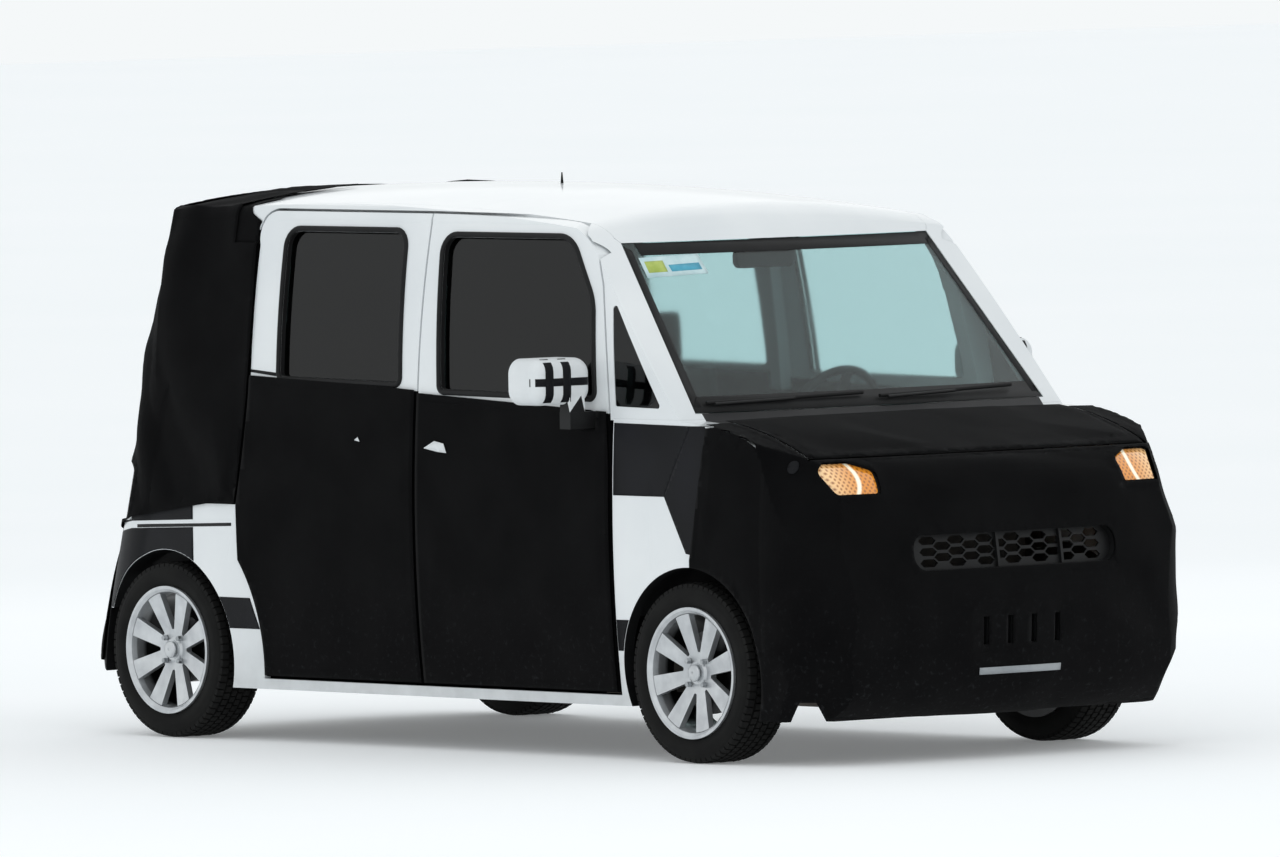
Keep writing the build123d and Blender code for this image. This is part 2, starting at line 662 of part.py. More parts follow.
SCREEN_PATH = mirrored(corners((SCREEN_BASE_HALF, SCREEN_BASE_Z), (SCREEN_TOP_HALF, SCREEN_EDGE_Z)))
with BuildPart() as windscreen:
    add(front_prism(SCREEN_PATH, -1400, -650))
    add(hull(SCREEN_GLASS[0]), mode=Mode.INTERSECT)
    add(hull(SCREEN_GLASS[1]), mode=Mode.SUBTRACT)
save(windscreen, "windscreen")

with BuildPart() as quarter_glass:
    for side in (1, -1):
        add(side_prism(QUARTER_WINDOW, SEAM, side, 600))
    add(hull(SCREEN_GLASS[0]), mode=Mode.INTERSECT)
    add(hull(SCREEN_GLASS[1]), mode=Mode.SUBTRACT)
save(quarter_glass, "quarter_glass")

# Front fenders and bumper, with the lamps let into the bumper's corners
FENDER_PATH = corners((FRONT_SEAM_Y - 4, SILL_Z), (FRONT_SEAM_Y - 4, COWL_Z), (FENDER_FRONT_Y, COWL_Z), (FENDER_FRONT_Y, SILL_Z))
with BuildPart() as fenders:
    for side in (1, -1):
        add(side_prism(FENDER_PATH, 0, side, BONNET_HALF))
    add(hull(BODY_SKIN), mode=Mode.INTERSECT)
    add(hull(FENDER_DEPTH), mode=Mode.SUBTRACT)
    for side in (1, -1):
        add(arch(FRONT_ARCH_RADIUS, FRONT_AXLE_Y, side), mode=Mode.SUBTRACT)
save(fenders, "front_fenders")
print("fenders", [round(x.volume) for x in fenders.solids()])

GRILLE_HALF = 411
GRILLE_Z = (585, 695)
GRILLE_MIDDLE_Z = sum(GRILLE_Z) / 2
GRILLE_PATH = rounded((-GRILLE_HALF, GRILLE_Z[0], 48), (GRILLE_HALF, GRILLE_Z[0], 48),
                      (GRILLE_HALF, GRILLE_Z[1], 48), (-GRILLE_HALF, GRILLE_Z[1], 48))
SLOT_X = (-145, -48, 48, 145)
SLOT_Z = (352, 438)
SLOT_WIDTH = 22
with BuildPart() as bumper:
    add(block((-1000, -2000, 0), (1000, FENDER_FRONT_Y - SEAM, 1100)))
    add(hull(BODY_SKIN), mode=Mode.INTERSECT)
    add(hull(BUMPER_DEPTH), mode=Mode.SUBTRACT)
    add(block((-BONNET_HALF, -2000, BONNET_FRONT_Z - MOVING_GAP), (BONNET_HALF, 0, 1100)), mode=Mode.SUBTRACT)
    add(block((-740, -1650, 0), (740, 0, CHIN_Z + 60)), mode=Mode.SUBTRACT)
    for side in (1, -1):
        add(arch(FRONT_ARCH_RADIUS, FRONT_AXLE_Y, side), mode=Mode.SUBTRACT)
    add(pair_prism(LAMP_PATH, -1900, LAMP_REAR_Y), mode=Mode.SUBTRACT)
    add(front_prism(GRILLE_PATH, -2000, -1600), mode=Mode.SUBTRACT)
    for x in SLOT_X:
        add(block((x - SLOT_WIDTH / 2, -2000, SLOT_Z[0]), (x + SLOT_WIDTH / 2, -1600, SLOT_Z[1])), mode=Mode.SUBTRACT)
save(bumper, "front_bumper")
print("bumper", [round(x.volume) for x in bumper.solids()])

with BuildPart() as headlamps:
    add(pair_prism(inset_path(LAMP_PATH, SEAM), -1900, LAMP_REAR_Y - SEAM))
    add(hull(SCREEN_GLASS[0]), mode=Mode.INTERSECT)
    add(hull(FRAME_DEPTH), mode=Mode.SUBTRACT)
save(headlamps, "headlamps")
with BuildPart() as tail_lamps:
    add(pair_prism(inset_path(TAIL_LAMP_PATH, SEAM), TAIL_LAMP_Y + SEAM, 1900))
    add(hull(SCREEN_GLASS[0]), mode=Mode.INTERSECT)
    add(hull(FRAME_DEPTH), mode=Mode.SUBTRACT)
save(tail_lamps, "tail_lamps")
print("lamps", [round(x.volume) for x in headlamps.solids() + tail_lamps.solids()])

# Grille: a plate with staggered flat six-sided holes, and two upright bars across it
GRILLE_DEPTH = (26, 34)
BAR_DEPTH = 16
BAR_X = (-67, 195)
BAR_HALF = 5
HOLE_HALF = (34, 12)
HOLE_FLAT = 20
COLUMN_PITCH = 55.5
COLUMNS_EACH_SIDE = 6
ROW_PITCH = 34
with BuildPart() as grille_bars:
    for x in BAR_X:
        add(block((x - BAR_HALF, -2000, GRILLE_Z[0] + 2), (x + BAR_HALF, -1600, GRILLE_Z[1] - 2)))
    add(hull(BAR_DEPTH), mode=Mode.INTERSECT)
    add(hull(GRILLE_DEPTH[1]), mode=Mode.SUBTRACT)
with BuildPart() as grille:
    add(front_prism(inset_path(GRILLE_PATH, SEAM), -2000, -1600))
    add(hull(GRILLE_DEPTH[0]), mode=Mode.INTERSECT)
    add(hull(GRILLE_DEPTH[1]), mode=Mode.SUBTRACT)
    with BuildSketch(Plane.XZ.offset(1600)):
        for column in range(-COLUMNS_EACH_SIDE, COLUMNS_EACH_SIDE + 1):
            rows = (-1, 0, 1) if column % 2 == 0 else (-0.5, 0.5)
            with Locations(*[(column * COLUMN_PITCH, GRILLE_MIDDLE_Z + row * ROW_PITCH) for row in rows]):
                Polygon((-HOLE_HALF[0], 0), (-HOLE_FLAT, -HOLE_HALF[1]), (HOLE_FLAT, -HOLE_HALF[1]),
                        (HOLE_HALF[0], 0), (HOLE_FLAT, HOLE_HALF[1]), (-HOLE_FLAT, HOLE_HALF[1]), align=None)
    extrude(amount=400, mode=Mode.SUBTRACT)
    add(grille_bars.part)
save(grille, "grille")
print("grille", [round(x.volume) for x in grille.solids()])

# Bonnet and tailgate, each a shell round the body's form
with BuildPart() as bonnet:
    add(block((-BONNET_HALF + MOVING_GAP - 2, -2000, BONNET_FRONT_Z), (BONNET_HALF - MOVING_GAP + 2, BONNET_REAR_Y, 1100)))
    add(hull(BODY_SKIN), mode=Mode.INTERSECT)
    add(hull(BONNET_DEPTH), mode=Mode.SUBTRACT)
save(bonnet, "bonnet")
with BuildPart() as bonnet_cover:
    add(block((-BONNET_HALF + MOVING_GAP, -2000, BONNET_FRONT_Z + 2), (BONNET_HALF - MOVING_GAP, BONNET_REAR_Y - 4, 1100)))
    add(hull(0), mode=Mode.INTERSECT)
    add(hull(CLOTH), mode=Mode.SUBTRACT)
save(bonnet_cover, "bonnet_cover")

REAR_GLASS = mirrored([(None, (500, 1130)), ((512, 1340), (470, 1560))])
with BuildPart() as tailgate:
    add(block((-TAILGATE_HALF, TAILGATE_FRONT_Y, TAILGATE_BOTTOM_Z), (TAILGATE_HALF, 2000, 1900)))
    add(hull(BODY_SKIN), mode=Mode.INTERSECT)
    add(hull(TAILGATE_DEPTH), mode=Mode.SUBTRACT)
    add(front_prism(REAR_GLASS, 1420, 2000), mode=Mode.SUBTRACT)
save(tailgate, "tailgate")
with BuildPart() as tailgate_glass:
    add(front_prism(inset_path(REAR_GLASS, SEAM), 1420, 2000))
    add(hull(SCREEN_GLASS[0]), mode=Mode.INTERSECT)
    add(hull(SCREEN_GLASS[1]), mode=Mode.SUBTRACT)
save(tailgate_glass, "tailgate_glass")
with BuildPart() as tailgate_cover:
    add(block((-TAILGATE_HALF, TAILGATE_FRONT_Y + 8, TAILGATE_BOTTOM_Z + 2), (TAILGATE_HALF, 2000, 1900)))
    add(hull(0), mode=Mode.INTERSECT)
    add(hull(CLOTH), mode=Mode.SUBTRACT)
    add(front_prism(inset_path(REAR_GLASS, 22), 1500, 2000), mode=Mode.SUBTRACT)
save(tailgate_cover, "tailgate_cover")
print("tailgate", [round(x.volume) for x in tailgate.solids() + tailgate_glass.solids() + tailgate_cover.solids()])

# Rear bumper
with BuildPart() as rear_bumper:
    add(block((-1000, REAR_BUMPER_Y + SEAM, REAR_BUMPER_BOTTOM_Z), (1000, 2000, REAR_BUMPER_TOP_Z)))
    add(hull(BODY_SKIN), mode=Mode.INTERSECT)
    add(hull(TAILGATE_DEPTH), mode=Mode.SUBTRACT)
save(rear_bumper, "rear_bumper")

# Cloth over the nose, open at the lamps, the grille, the lower slots and the wheel arches
with BuildPart() as nose_cover:
    add(block((-1000, -2000, 0), (1000, FRONT_AXLE_Y, 1200)))
    add(hull(0), mode=Mode.INTERSECT)
    add(hull(CLOTH), mode=Mode.SUBTRACT)
    for side in (1, -1):
        add(arch(FRONT_ARCH_RADIUS, FRONT_AXLE_Y, side), mode=Mode.SUBTRACT)
    behind = corners((0, 0), (0, 1300), (FRONT_AXLE_Y - 130, 1300), (FRONT_AXLE_Y - 92, 1000), (FRONT_AXLE_Y - 16, 620),
                     (FRONT_AXLE_Y - 16, 0))
    for side in (1, -1):
        add(side_prism(behind, 0, side), mode=Mode.SUBTRACT)
    add(block((-BONNET_HALF, -2000, BONNET_FRONT_Z - MOVING_GAP + 2), (BONNET_HALF, 0, 1300)), mode=Mode.SUBTRACT)
    add(block((-740, -1650, 0), (740, 0, CHIN_Z + 60)), mode=Mode.SUBTRACT)
    add(pair_prism(inset_path(LAMP_PATH, -CLOTH_EDGE), -1900, -1400), mode=Mode.SUBTRACT)
    add(front_prism(GRILLE_PATH, -2000, -1600), mode=Mode.SUBTRACT)
    for x in SLOT_X:
        add(block((x - SLOT_WIDTH / 2, -2000, SLOT_Z[0]), (x + SLOT_WIDTH / 2, -1600, SLOT_Z[1])), mode=Mode.SUBTRACT)
save(nose_cover, "nose_cover")
print("nose cover", [round(x.volume) for x in nose_cover.solids()], nose_cover.part.bounding_box())

# Cloth over the rear quarters and bumper, with a padded tongue along the roof's end
REAR_COVER_TOP_Y = 1050
PAD_REAR_Y = TAILGATE_FRONT_Y - 14
PAD_PLAN = corners((670, PAD_REAR_Y), (300, PAD_REAR_Y), (-300, PAD_REAR_Y), (-670, PAD_REAR_Y), (-670, PAD_REAR_Y - 60),
                   (-300, PAD_REAR_Y - 110), (-90, 640), (90, 640), (300, PAD_REAR_Y - 110), (670, PAD_REAR_Y - 60))
PAD_SIDE = corners((600, 1600), (1500, 1600), (1500, 1712), (1160, 1771), (600, 1742))
REAR_COVER_PATH = [
    (None, (REAR_SEAM_Y + 200, 742)), (None, (1524, 692)), (None, (1700, 640)), (None, (1700, 236)),
    (None, (1900, 236)), (None, (1900, 1900)), (None, (REAR_SEAM_Y + 6, 1900)), (None, (REAR_SEAM_Y + 6, 1553)),
    ((REAR_SEAM_Y + 19, 950), (REAR_SEAM_Y + 56, 745))]
with BuildPart() as rear_quarters:
    for side in (1, -1):
        add(side_prism(REAR_COVER_PATH, 0, side))
    add(block((-ROOF_HALF - 20, 0, 1500), (ROOF_HALF + 20, REAR_COVER_TOP_Y, 1900)), mode=Mode.SUBTRACT)
    add(block((-1000, 0, 1560), (1000, REAR_COVER_TOP_Y, 1900)), mode=Mode.SUBTRACT)
    add(hull(0), mode=Mode.INTERSECT)
    add(hull(CLOTH), mode=Mode.SUBTRACT)
    add(block((-TAILGATE_HALF - 6, PAD_REAR_Y, REAR_BUMPER_TOP_Z), (TAILGATE_HALF + 6, 2000, 1900)), mode=Mode.SUBTRACT)
    add(pair_prism(inset_path(TAIL_LAMP_PATH, -CLOTH_EDGE), TAIL_LAMP_Y, 1900), mode=Mode.SUBTRACT)
    add(block((-1000, 0, 0), (1000, 1700, 236)), mode=Mode.SUBTRACT)
with BuildPart() as pad:
    extrude(outline(Plane.XY.offset(1600), PAD_PLAN), amount=300)
    add(side_prism(PAD_SIDE, 0, 1, -700, 700), mode=Mode.INTERSECT)
    add(hull(CLOTH), mode=Mode.SUBTRACT)
with BuildPart() as rear_cover:
    add(rear_quarters.part)
    add(pad.part)
save(rear_cover, "rear_cover")
print("rear cover", [round(x.volume) for x in rear_cover.solids()], rear_cover.part.bounding_box())

# Front structure: bulkhead, cowl, two rails with their beam, and the strut towers
TOWER_RADIUS = 80
SPRING_RADIUS = 60
STRUT_TOP = 521
LINER_HALF = LINER_INNER_X - LINER_WALL - SEAM
with BuildPart() as structure:
    add(block((-BONNET_HALF + SEAM, BONNET_REAR_Y + 16, 950), (BONNET_HALF - SEAM, -1000, SCREEN_BASE_Z - SEAM)))
    add(hull(BODY_SKIN), mode=Mode.INTERSECT)
    add(hull(BUMPER_DEPTH), mode=Mode.SUBTRACT)
    add(block((-LINER_HALF, BULKHEAD_Y, FLOOR_Z), (LINER_HALF, BULKHEAD_Y + BULKHEAD_SHEET, 1035)))
    add(block((-BONNET_HALF + 6, BULKHEAD_Y, HUB_Z + LINER_ROOM), (BONNET_HALF - 6, BULKHEAD_Y + BULKHEAD_SHEET, 1035)))
    for rail in both_sides((RAIL_X[0], -1700, RAIL_Z[0]), (RAIL_X[1], BULKHEAD_Y, RAIL_Z[1])):
        add(rail)
    add(block((-520, -1700, RAIL_Z[0]), (520, -1660, RAIL_Z[1] + 40)))
    for side in (1, -1):
        add(pin_round(side, 400, STRUT_TOP + 12, TOWER_RADIUS))
    for side in (1, -1):
        add(pin_round(side, 380, STRUT_TOP, TOWER_RADIUS - 8), mode=Mode.SUBTRACT)
        add(arch(LINER_ROOM, FRONT_AXLE_Y, side, LINER_HALF, 800), mode=Mode.SUBTRACT)
    for x0, x1 in ((LINER_HALF, 520), (-520, -LINER_HALF)):
        add(block((x0, -1650, 0), (x1, -1000, RAIL_Z[1] + 60)), mode=Mode.SUBTRACT)
save(structure, "front_structure")
print("structure", [round(x.volume) for x in structure.solids()])

# Floor: flat under the front seats, stepped up at the heel board, cut round the four wheels
with BuildPart() as floor:
    with BuildSketch(Plane.YZ.offset(-FLOOR_HALF)):
        with BuildLine():
            Polyline((BULKHEAD_Y, FLOOR_Z - FLOOR_SHEET), (HEEL_Y + FLOOR_SHEET, FLOOR_Z - FLOOR_SHEET),
                     (HEEL_Y + FLOOR_SHEET, REAR_FLOOR_Z - FLOOR_SHEET), (1680, REAR_FLOOR_Z - FLOOR_SHEET),
                     (1680, REAR_FLOOR_Z), (HEEL_Y, REAR_FLOOR_Z), (HEEL_Y, FLOOR_Z),
                     (BULKHEAD_Y, FLOOR_Z), close=True)
        make_face()
    extrude(amount=2 * FLOOR_HALF)
    add(block((-LINER_HALF, 1650, REAR_FLOOR_Z), (LINER_HALF, 1680, 615)))
    for side in (1, -1):
        x0, x1 = sorted((side * LINER_HALF, side * 800))
        add(block((x0, -1300, 0), (x1, FRONT_AXLE_Y + LINER_ROOM, 1000)), mode=Mode.SUBTRACT)
        add(block((x0, REAR_AXLE_Y - LINER_ROOM, 0), (x1, 1900, 1000)), mode=Mode.SUBTRACT)
save(floor, "floor_pan")
print("floor", [round(x.volume) for x in floor.solids()])

# Round liners inside the four wheel arches
def liner(side, axle_y, outer_depth):
    """Ring and inner wall round the top of one wheel."""
    with BuildPart() as piece:
        add(arch(LINER_RADIUS + LINER_WALL, axle_y, side, LINER_INNER_X - LINER_WALL, HALF_WIDTH))
        add(hull(outer_depth + SEAM), mode=Mode.INTERSECT)
        add(arch(LINER_RADIUS, axle_y, side, LINER_INNER_X, 900), mode=Mode.SUBTRACT)
        add(block((-900, -2000, 0), (900, 2000, RAIL_Z[1] + 60)), mode=Mode.SUBTRACT)
    return piece.part


with BuildPart() as liners:
    for side in (1, -1):
        add(liner(side, FRONT_AXLE_Y, FENDER_DEPTH))
        add(liner(side, REAR_AXLE_Y, FRAME_DEPTH))
        add(pin_round(side, 300, 640, TOWER_RADIUS + SEAM), mode=Mode.SUBTRACT)
save(liners, "wheel_liners")
print("liners", [round(x.volume) for x in liners.solids()])


def pin_turned(side, profile):
    """Profile in (radius, distance above the lower ball), turned about one kingpin."""
    base = kingpin(side)
    up = Plane(origin=base.origin, x_dir=(0, 1, 0), z_dir=Vector(0, 1, 0).cross(base.z_dir))
    with BuildPart() as piece:
        with BuildSketch(up):
            with BuildLine():
                Polyline(*profile, close=True)
            make_face()
        revolve(axis=Axis(base.origin, base.z_dir))
    return piece.part


# Front subframe with its two lower arms, each ending in the ball that the knuckle turns on
ARM_Z = (168, 182)
KNUCKLE_TOP = 230
with BuildPart() as subframe:
    add(block((-330, FRONT_AXLE_Y - 66, ARM_Z[0]), (330, BULKHEAD_Y - SEAM, ARM_Z[0] + 40)))
    for arm in both_sides((300, FRONT_AXLE_Y - 26, ARM_Z[0]), (KINGPIN_LOW[0] - 8, FRONT_AXLE_Y + 26, ARM_Z[1])):
        add(arm)
    for post in both_sides((RAIL_X[0] + 5, FRONT_AXLE_Y - 16, ARM_Z[0]), (RAIL_X[1] - 5, BULKHEAD_Y - 4, RAIL_Z[0] - SEAM)):
        add(post)
    for side in (1, -1):
        add(rod((side * KINGPIN_LOW[0], FRONT_AXLE_Y, ARM_Z[0]), (side * KINGPIN_LOW[0], FRONT_AXLE_Y, ARM_Z[1]), 24))
        add(pin_round(side, -16, -SEAM, 16))
save(subframe, "front_subframe")

# Front struts: damper body, spring seat and a ribbed spring up into the tower
SPRING_SEAT = 396
COIL = 20
spring = []
for turn in range(5):
    low = SPRING_SEAT + 8 + turn * COIL
    spring += [(SPRING_RADIUS - 8, low), (SPRING_RADIUS, low + COIL / 2)]
STRUT_PROFILE = [
    (0, KNUCKLE_TOP + SEAM), (17, KNUCKLE_TOP + SEAM), (17, 320), (24, 326), (24, SPRING_SEAT - 6), (SPRING_RADIUS + 4, SPRING_SEAT),
    (SPRING_RADIUS + 4, SPRING_SEAT + 6)] + spring + [(SPRING_RADIUS - 8, STRUT_TOP - 6), (SPRING_RADIUS, STRUT_TOP - SEAM),
                                                      (0, STRUT_TOP - SEAM)]
with BuildPart() as struts:
    for side in (1, -1):
        add(pin_turned(side, STRUT_PROFILE))
save(struts, "front_struts")

# Rear axle: cross beam, trailing arms with brackets to the floor, springs, dampers and spindles
BEAM_Y = 1180
BEAM_Z = 262
BEAM_RADIUS = 35
ARM_X = (540, 590)
DAMPER_Y = 1300
FLOOR_UNDER = REAR_FLOOR_Z - FLOOR_SHEET
rear_spring = []
for turn in range(4):
    rear_spring += [(38, BEAM_Z + 30 + turn * COIL), (46, BEAM_Z + 30 + (turn + 0.5) * COIL)]
REAR_SPRING = [(0, BEAM_Z)] + rear_spring + [(38, FLOOR_UNDER - 12), (46, FLOOR_UNDER - SEAM), (0, FLOOR_UNDER - SEAM)]
with BuildPart() as rear_axle:
    add(rod((-ARM_X[1] + 10, BEAM_Y, BEAM_Z), (ARM_X[1] - 10, BEAM_Y, BEAM_Z), BEAM_RADIUS))
    for arm in both_sides((ARM_X[0], 990, BEAM_Z - 22), (ARM_X[1], REAR_AXLE_Y + 40, BEAM_Z + 38)):
        add(arm)
    for bracket in both_sides((ARM_X[0] + 5, 990, BEAM_Z), (ARM_X[1] - 5, REAR_AXLE_Y - LINER_ROOM - 4, FLOOR_UNDER - SEAM)):
        add(bracket)
    for side in (1, -1):
        add(rod((side * ARM_X[0], REAR_AXLE_Y, HUB_Z), (side * 640, REAR_AXLE_Y, HUB_Z), 30))
        add(rod((side * 638, REAR_AXLE_Y, HUB_Z), (side * 645, REAR_AXLE_Y, HUB_Z), 100))
        add(rod((side * 565, DAMPER_Y, BEAM_Z), (side * 565, DAMPER_Y, 597.3), 18))
        with BuildSketch(Plane(origin=(side * RAIL_X[0], BEAM_Y, 0), x_dir=(1, 0, 0), z_dir=(0, -1, 0))):
            with BuildLine():
                Polyline(*REAR_SPRING, close=True)
            make_face()
        revolve(axis=Axis((side * RAIL_X[0], BEAM_Y, 0), (0, 0, 1)))
save(rear_axle, "rear_axle")
print("axle", [round(x.volume) for x in subframe.solids() + struts.solids() + rear_axle.solids()])

# Exhaust, fuel tank and engine
PIPE_X = -120
PIPE_Z = 160
with BuildPart() as exhaust:
    add(rod((PIPE_X, -1060, PIPE_Z), (PIPE_X, 1460, PIPE_Z), 24))
    add(block((-330, 1440, PIPE_Z + 6), (60, 1620, PIPE_Z + 170)))
    fillet(exhaust.edges().filter_by(Axis.Y).filter_by(lambda e: e.length > 170 and e.length < 190), 40)
    add(rod((-250, 1600, PIPE_Z + 32), (-250, 1790, PIPE_Z + 4), 18))
    for y in (-600, 300):
        add(block((PIPE_X - 15, y, PIPE_Z + 15), (PIPE_X + 15, y + 24, FLOOR_Z - FLOOR_SHEET - SEAM)))
    add(block((-180, 1500, PIPE_Z + 160), (-90, 1540, FLOOR_UNDER - SEAM)))
save(exhaust, "exhaust")
with BuildPart() as fuel_tank:
    add(block((-420, HEEL_Y + 40, 200), (420, 975, FLOOR_UNDER - SEAM)))
    fillet(fuel_tank.edges().filter_by(Axis.X).group_by(Axis.Z)[0], 40)
save(fuel_tank, "fuel_tank")
with BuildPart() as engine:
    add(block((-250, -1560, 250), (250, -1190, 800)))
    fillet(engine.edges().filter_by(Axis.Z), 30)
    add(block((-RAIL_X[0] + SEAM, -1420, 320), (RAIL_X[0] - SEAM, -1340, 360)))
save(engine, "engine")
print("under", [round(x.volume) for x in exhaust.solids() + fuel_tank.solids() + engine.solids()])

# Dashboard with its instrument hood and steering column
DASH_HALF = 680
DASH_FRONT_Y = BULKHEAD_Y + BULKHEAD_SHEET + SEAM
DASH_PATH = corners((DASH_FRONT_Y, 735), (-1075, 735), (-950, 640), (-800, 700), (-770, 860), (-800, 985), (-860, 1025), (DASH_FRONT_Y, 1035))
WHEEL_AXIS = Vector(0, cos(radians(WHEEL_TILT)), sin(radians(WHEEL_TILT)))
HUB_DEPTH = 45
with BuildPart() as dashboard:
    add(side_prism(DASH_PATH, 0, 1, -DASH_HALF, DASH_HALF))
    add(hull(UPPER_FLANGE), mode=Mode.INTERSECT)
    add(block((230, -900, 980), (510, -790, 1062)))
    fillet(dashboard.edges().filter_by(Axis.Z).filter_by(lambda e: 30 < e.length < 100 and e.center().Z > 1000), 30)
    column_end = Vector(*WHEEL_CENTRE) - WHEEL_AXIS * (HUB_DEPTH + SEAM)
    add(rod(column_end, Vector(*WHEEL_CENTRE) - WHEEL_AXIS * 360, 30))
save(dashboard, "dashboard")
with BuildPart() as steering_wheel:
    rim_plane = Plane(origin=WHEEL_CENTRE, x_dir=(1, 0, 0), z_dir=WHEEL_AXIS)
    across = Plane(origin=WHEEL_CENTRE, x_dir=(1, 0, 0), z_dir=Vector(1, 0, 0).cross(WHEEL_AXIS))
    with BuildSketch(across):
        with Locations((WHEEL_RIM_RADIUS, 0)):
            Circle(14)
    revolve(axis=Axis(WHEEL_CENTRE, WHEEL_AXIS))
    with BuildSketch(rim_plane.offset(-HUB_DEPTH)):
        Circle(60)
    extrude(amount=HUB_DEPTH)
    with BuildSketch(rim_plane.offset(-20)):
        for turn in (0, 180, 270):
            with Locations(Location((0, 0, 0), (0, 0, turn))):
                Polygon((40, -22), (WHEEL_RIM_RADIUS, -15), (WHEEL_RIM_RADIUS, 15), (40, 22), align=None)
    extrude(amount=14)
save(steering_wheel, "steering_wheel")
print("dash", [round(x.volume) for x in dashboard.solids() + steering_wheel.solids()])


def cushion(path, x0, x1, rounding):
    """Side-view path carried across between two places, with rounded flanks."""
    with BuildPart() as pad:
        extrude(outline(Plane.YZ.offset(x0), path), amount=x1 - x0)
        fillet(pad.faces().filter_by(Axis.X).edges(), rounding)
    return pad.part


# Seats, each resting just clear of the floor
SEAT_HALF = 245
SEAT_PATH = corners((-330, 400), (160, 400), (290, 620), (395, 1125), (275, 1150), (190, 660), (150, 560), (-300, 570))
FRONT_REST = corners((300, 1165), (385, 1150), (400, 1325), (320, 1335))
REAR_SEAT_PATH = corners((530, REAR_FLOOR_Z + SEAM), (1030, REAR_FLOOR_Z + SEAM), (1150, 1130), (1045, 1150), (925, 590),
                         (540, 575))
REAR_REST = corners((1065, 1160), (1145, 1150), (1160, 1300), (1090, 1310))
with BuildPart() as front_seats:
    for x in (SEAT_X, -SEAT_X):
        add(cushion(SEAT_PATH, x - SEAT_HALF, x + SEAT_HALF, 30))
        add(cushion(FRONT_REST, x - 130, x + 130, 30))
        add(block((x - SEAT_HALF + 30, -250, FLOOR_Z + SEAM), (x + SEAT_HALF - 30, 150, 420)))
        for post in (x - 60, x + 60):
            add(rod((post, 340, 1080), (post, 355, 1200), 7))
save(front_seats, "front_seats")
with BuildPart() as rear_seat:
    add(cushion(REAR_SEAT_PATH, -600, 600, 30))
    add(block((-570, 550, FLOOR_Z + SEAM), (570, HEEL_Y - 10, 450)))
    for x in (SEAT_X, -SEAT_X):
        add(cushion(REAR_REST, x - 120, x + 120, 25))
        for post in (x - 60, x + 60):
            add(rod((post, 1100, 1090), (post, 1115, 1200), 7))
save(rear_seat, "rear_seat")
with BuildPart() as interior_mirror:
    add(block((-115, -640, 1478), (115, -615, 1540)))
    fillet(interior_mirror.edges().filter_by(Axis.Y), 24)
    add(rod((0, -630, 1520), (0, -630, 1617.5), 9))
save(interior_mirror, "interior_mirror")
print("seats", [round(x.volume) for x in front_seats.solids() + rear_seat.solids() + interior_mirror.solids()])

# Door mirrors on short arms that pass through the cloth
MIRROR_LOW = (795, -742, 1089)
MIRROR_HIGH = (1030, -618, 1232)
for side, label in ((1, "mirror_left"), (-1, "mirror_right")):
    with BuildPart() as mirror:
        x0, x1 = sorted((side * MIRROR_LOW[0], side * MIRROR_HIGH[0]))
        add(block((x0, MIRROR_LOW[1], MIRROR_LOW[2]), (x1, MIRROR_HIGH[1], MIRROR_HIGH[2])))
        fillet(mirror.edges().filter_by(Axis.Y), 48)
        fillet(mirror.faces().sort_by(Axis.Y)[0].edges(), 40)
        x0, x1 = sorted((side * 700, side * 890))
        add(block((x0, MIRROR_ARM_Y[0], MIRROR_ARM_Z[0]), (x1, MIRROR_ARM_Y[1], MIRROR_ARM_Z[1])))
        x0, x1 = sorted((side * 830, side * 890))
        add(block((x0, MIRROR_ARM_Y[0] + 2, MIRROR_ARM_Z[0]), (x1, MIRROR_ARM_Y[1] - 2, MIRROR_LOW[2] + 30)))
        add(hull(CLOTH), mode=Mode.SUBTRACT)
    save(mirror, label)
    print(label, [round(x.volume) for x in mirror.solids()])


def wheel_side(side, axle_y):
    """Plane through a wheel's centre: outwards along the axle, then up."""
    return Plane(origin=(side * TRACK / 2, axle_y, HUB_Z), x_dir=(side, 0, 0), z_dir=(0, -side, 0))


def wheel_face(side, axle_y, out):
    """Plane across a wheel, a distance outwards from its middle."""
    return Plane(origin=(side * (TRACK / 2 + out), axle_y, HUB_Z), x_dir=(0, 1, 0), z_dir=(side, 0, 0))


# Wheels: a tyre with rounded shoulders on a rim with spokes, the brake turning with it
HALF_TYRE = TYRE_WIDTH / 2
BEAD_HALF = 78
TYRE_PATH = [
    (None, (BEAD_HALF, BEAD_RADIUS)), (None, (BEAD_HALF, BEAD_RADIUS + 16)),
    ((HALF_TYRE, TYRE_RADIUS - 40), (HALF_TYRE - 7, TYRE_RADIUS - 14)),
    ((HALF_TYRE - 13, TYRE_RADIUS - 4), (HALF_TYRE - 25, TYRE_RADIUS)), (None, (25 - HALF_TYRE, TYRE_RADIUS)),
    ((13 - HALF_TYRE, TYRE_RADIUS - 4), (7 - HALF_TYRE, TYRE_RADIUS - 14)),
    ((-HALF_TYRE, TYRE_RADIUS - 40), (-BEAD_HALF, BEAD_RADIUS + 16)), (None, (-BEAD_HALF, BEAD_RADIUS))]
LIP_HALF = 88
SEAT_RADIUS = BEAD_RADIUS - SEAM
RIM_PATH = corners(
    (LIP_HALF, LIP_RADIUS - 9), (LIP_HALF, LIP_RADIUS), (BEAD_HALF + SEAM, LIP_RADIUS), (BEAD_HALF + SEAM, SEAT_RADIUS),
    (-BEAD_HALF - SEAM, SEAT_RADIUS), (-BEAD_HALF - SEAM, LIP_RADIUS), (-LIP_HALF, LIP_RADIUS), (-LIP_HALF, BARREL_RADIUS),
    (LIP_HALF - 26, BARREL_RADIUS), (LIP_HALF - 8, BARREL_RADIUS + 5))
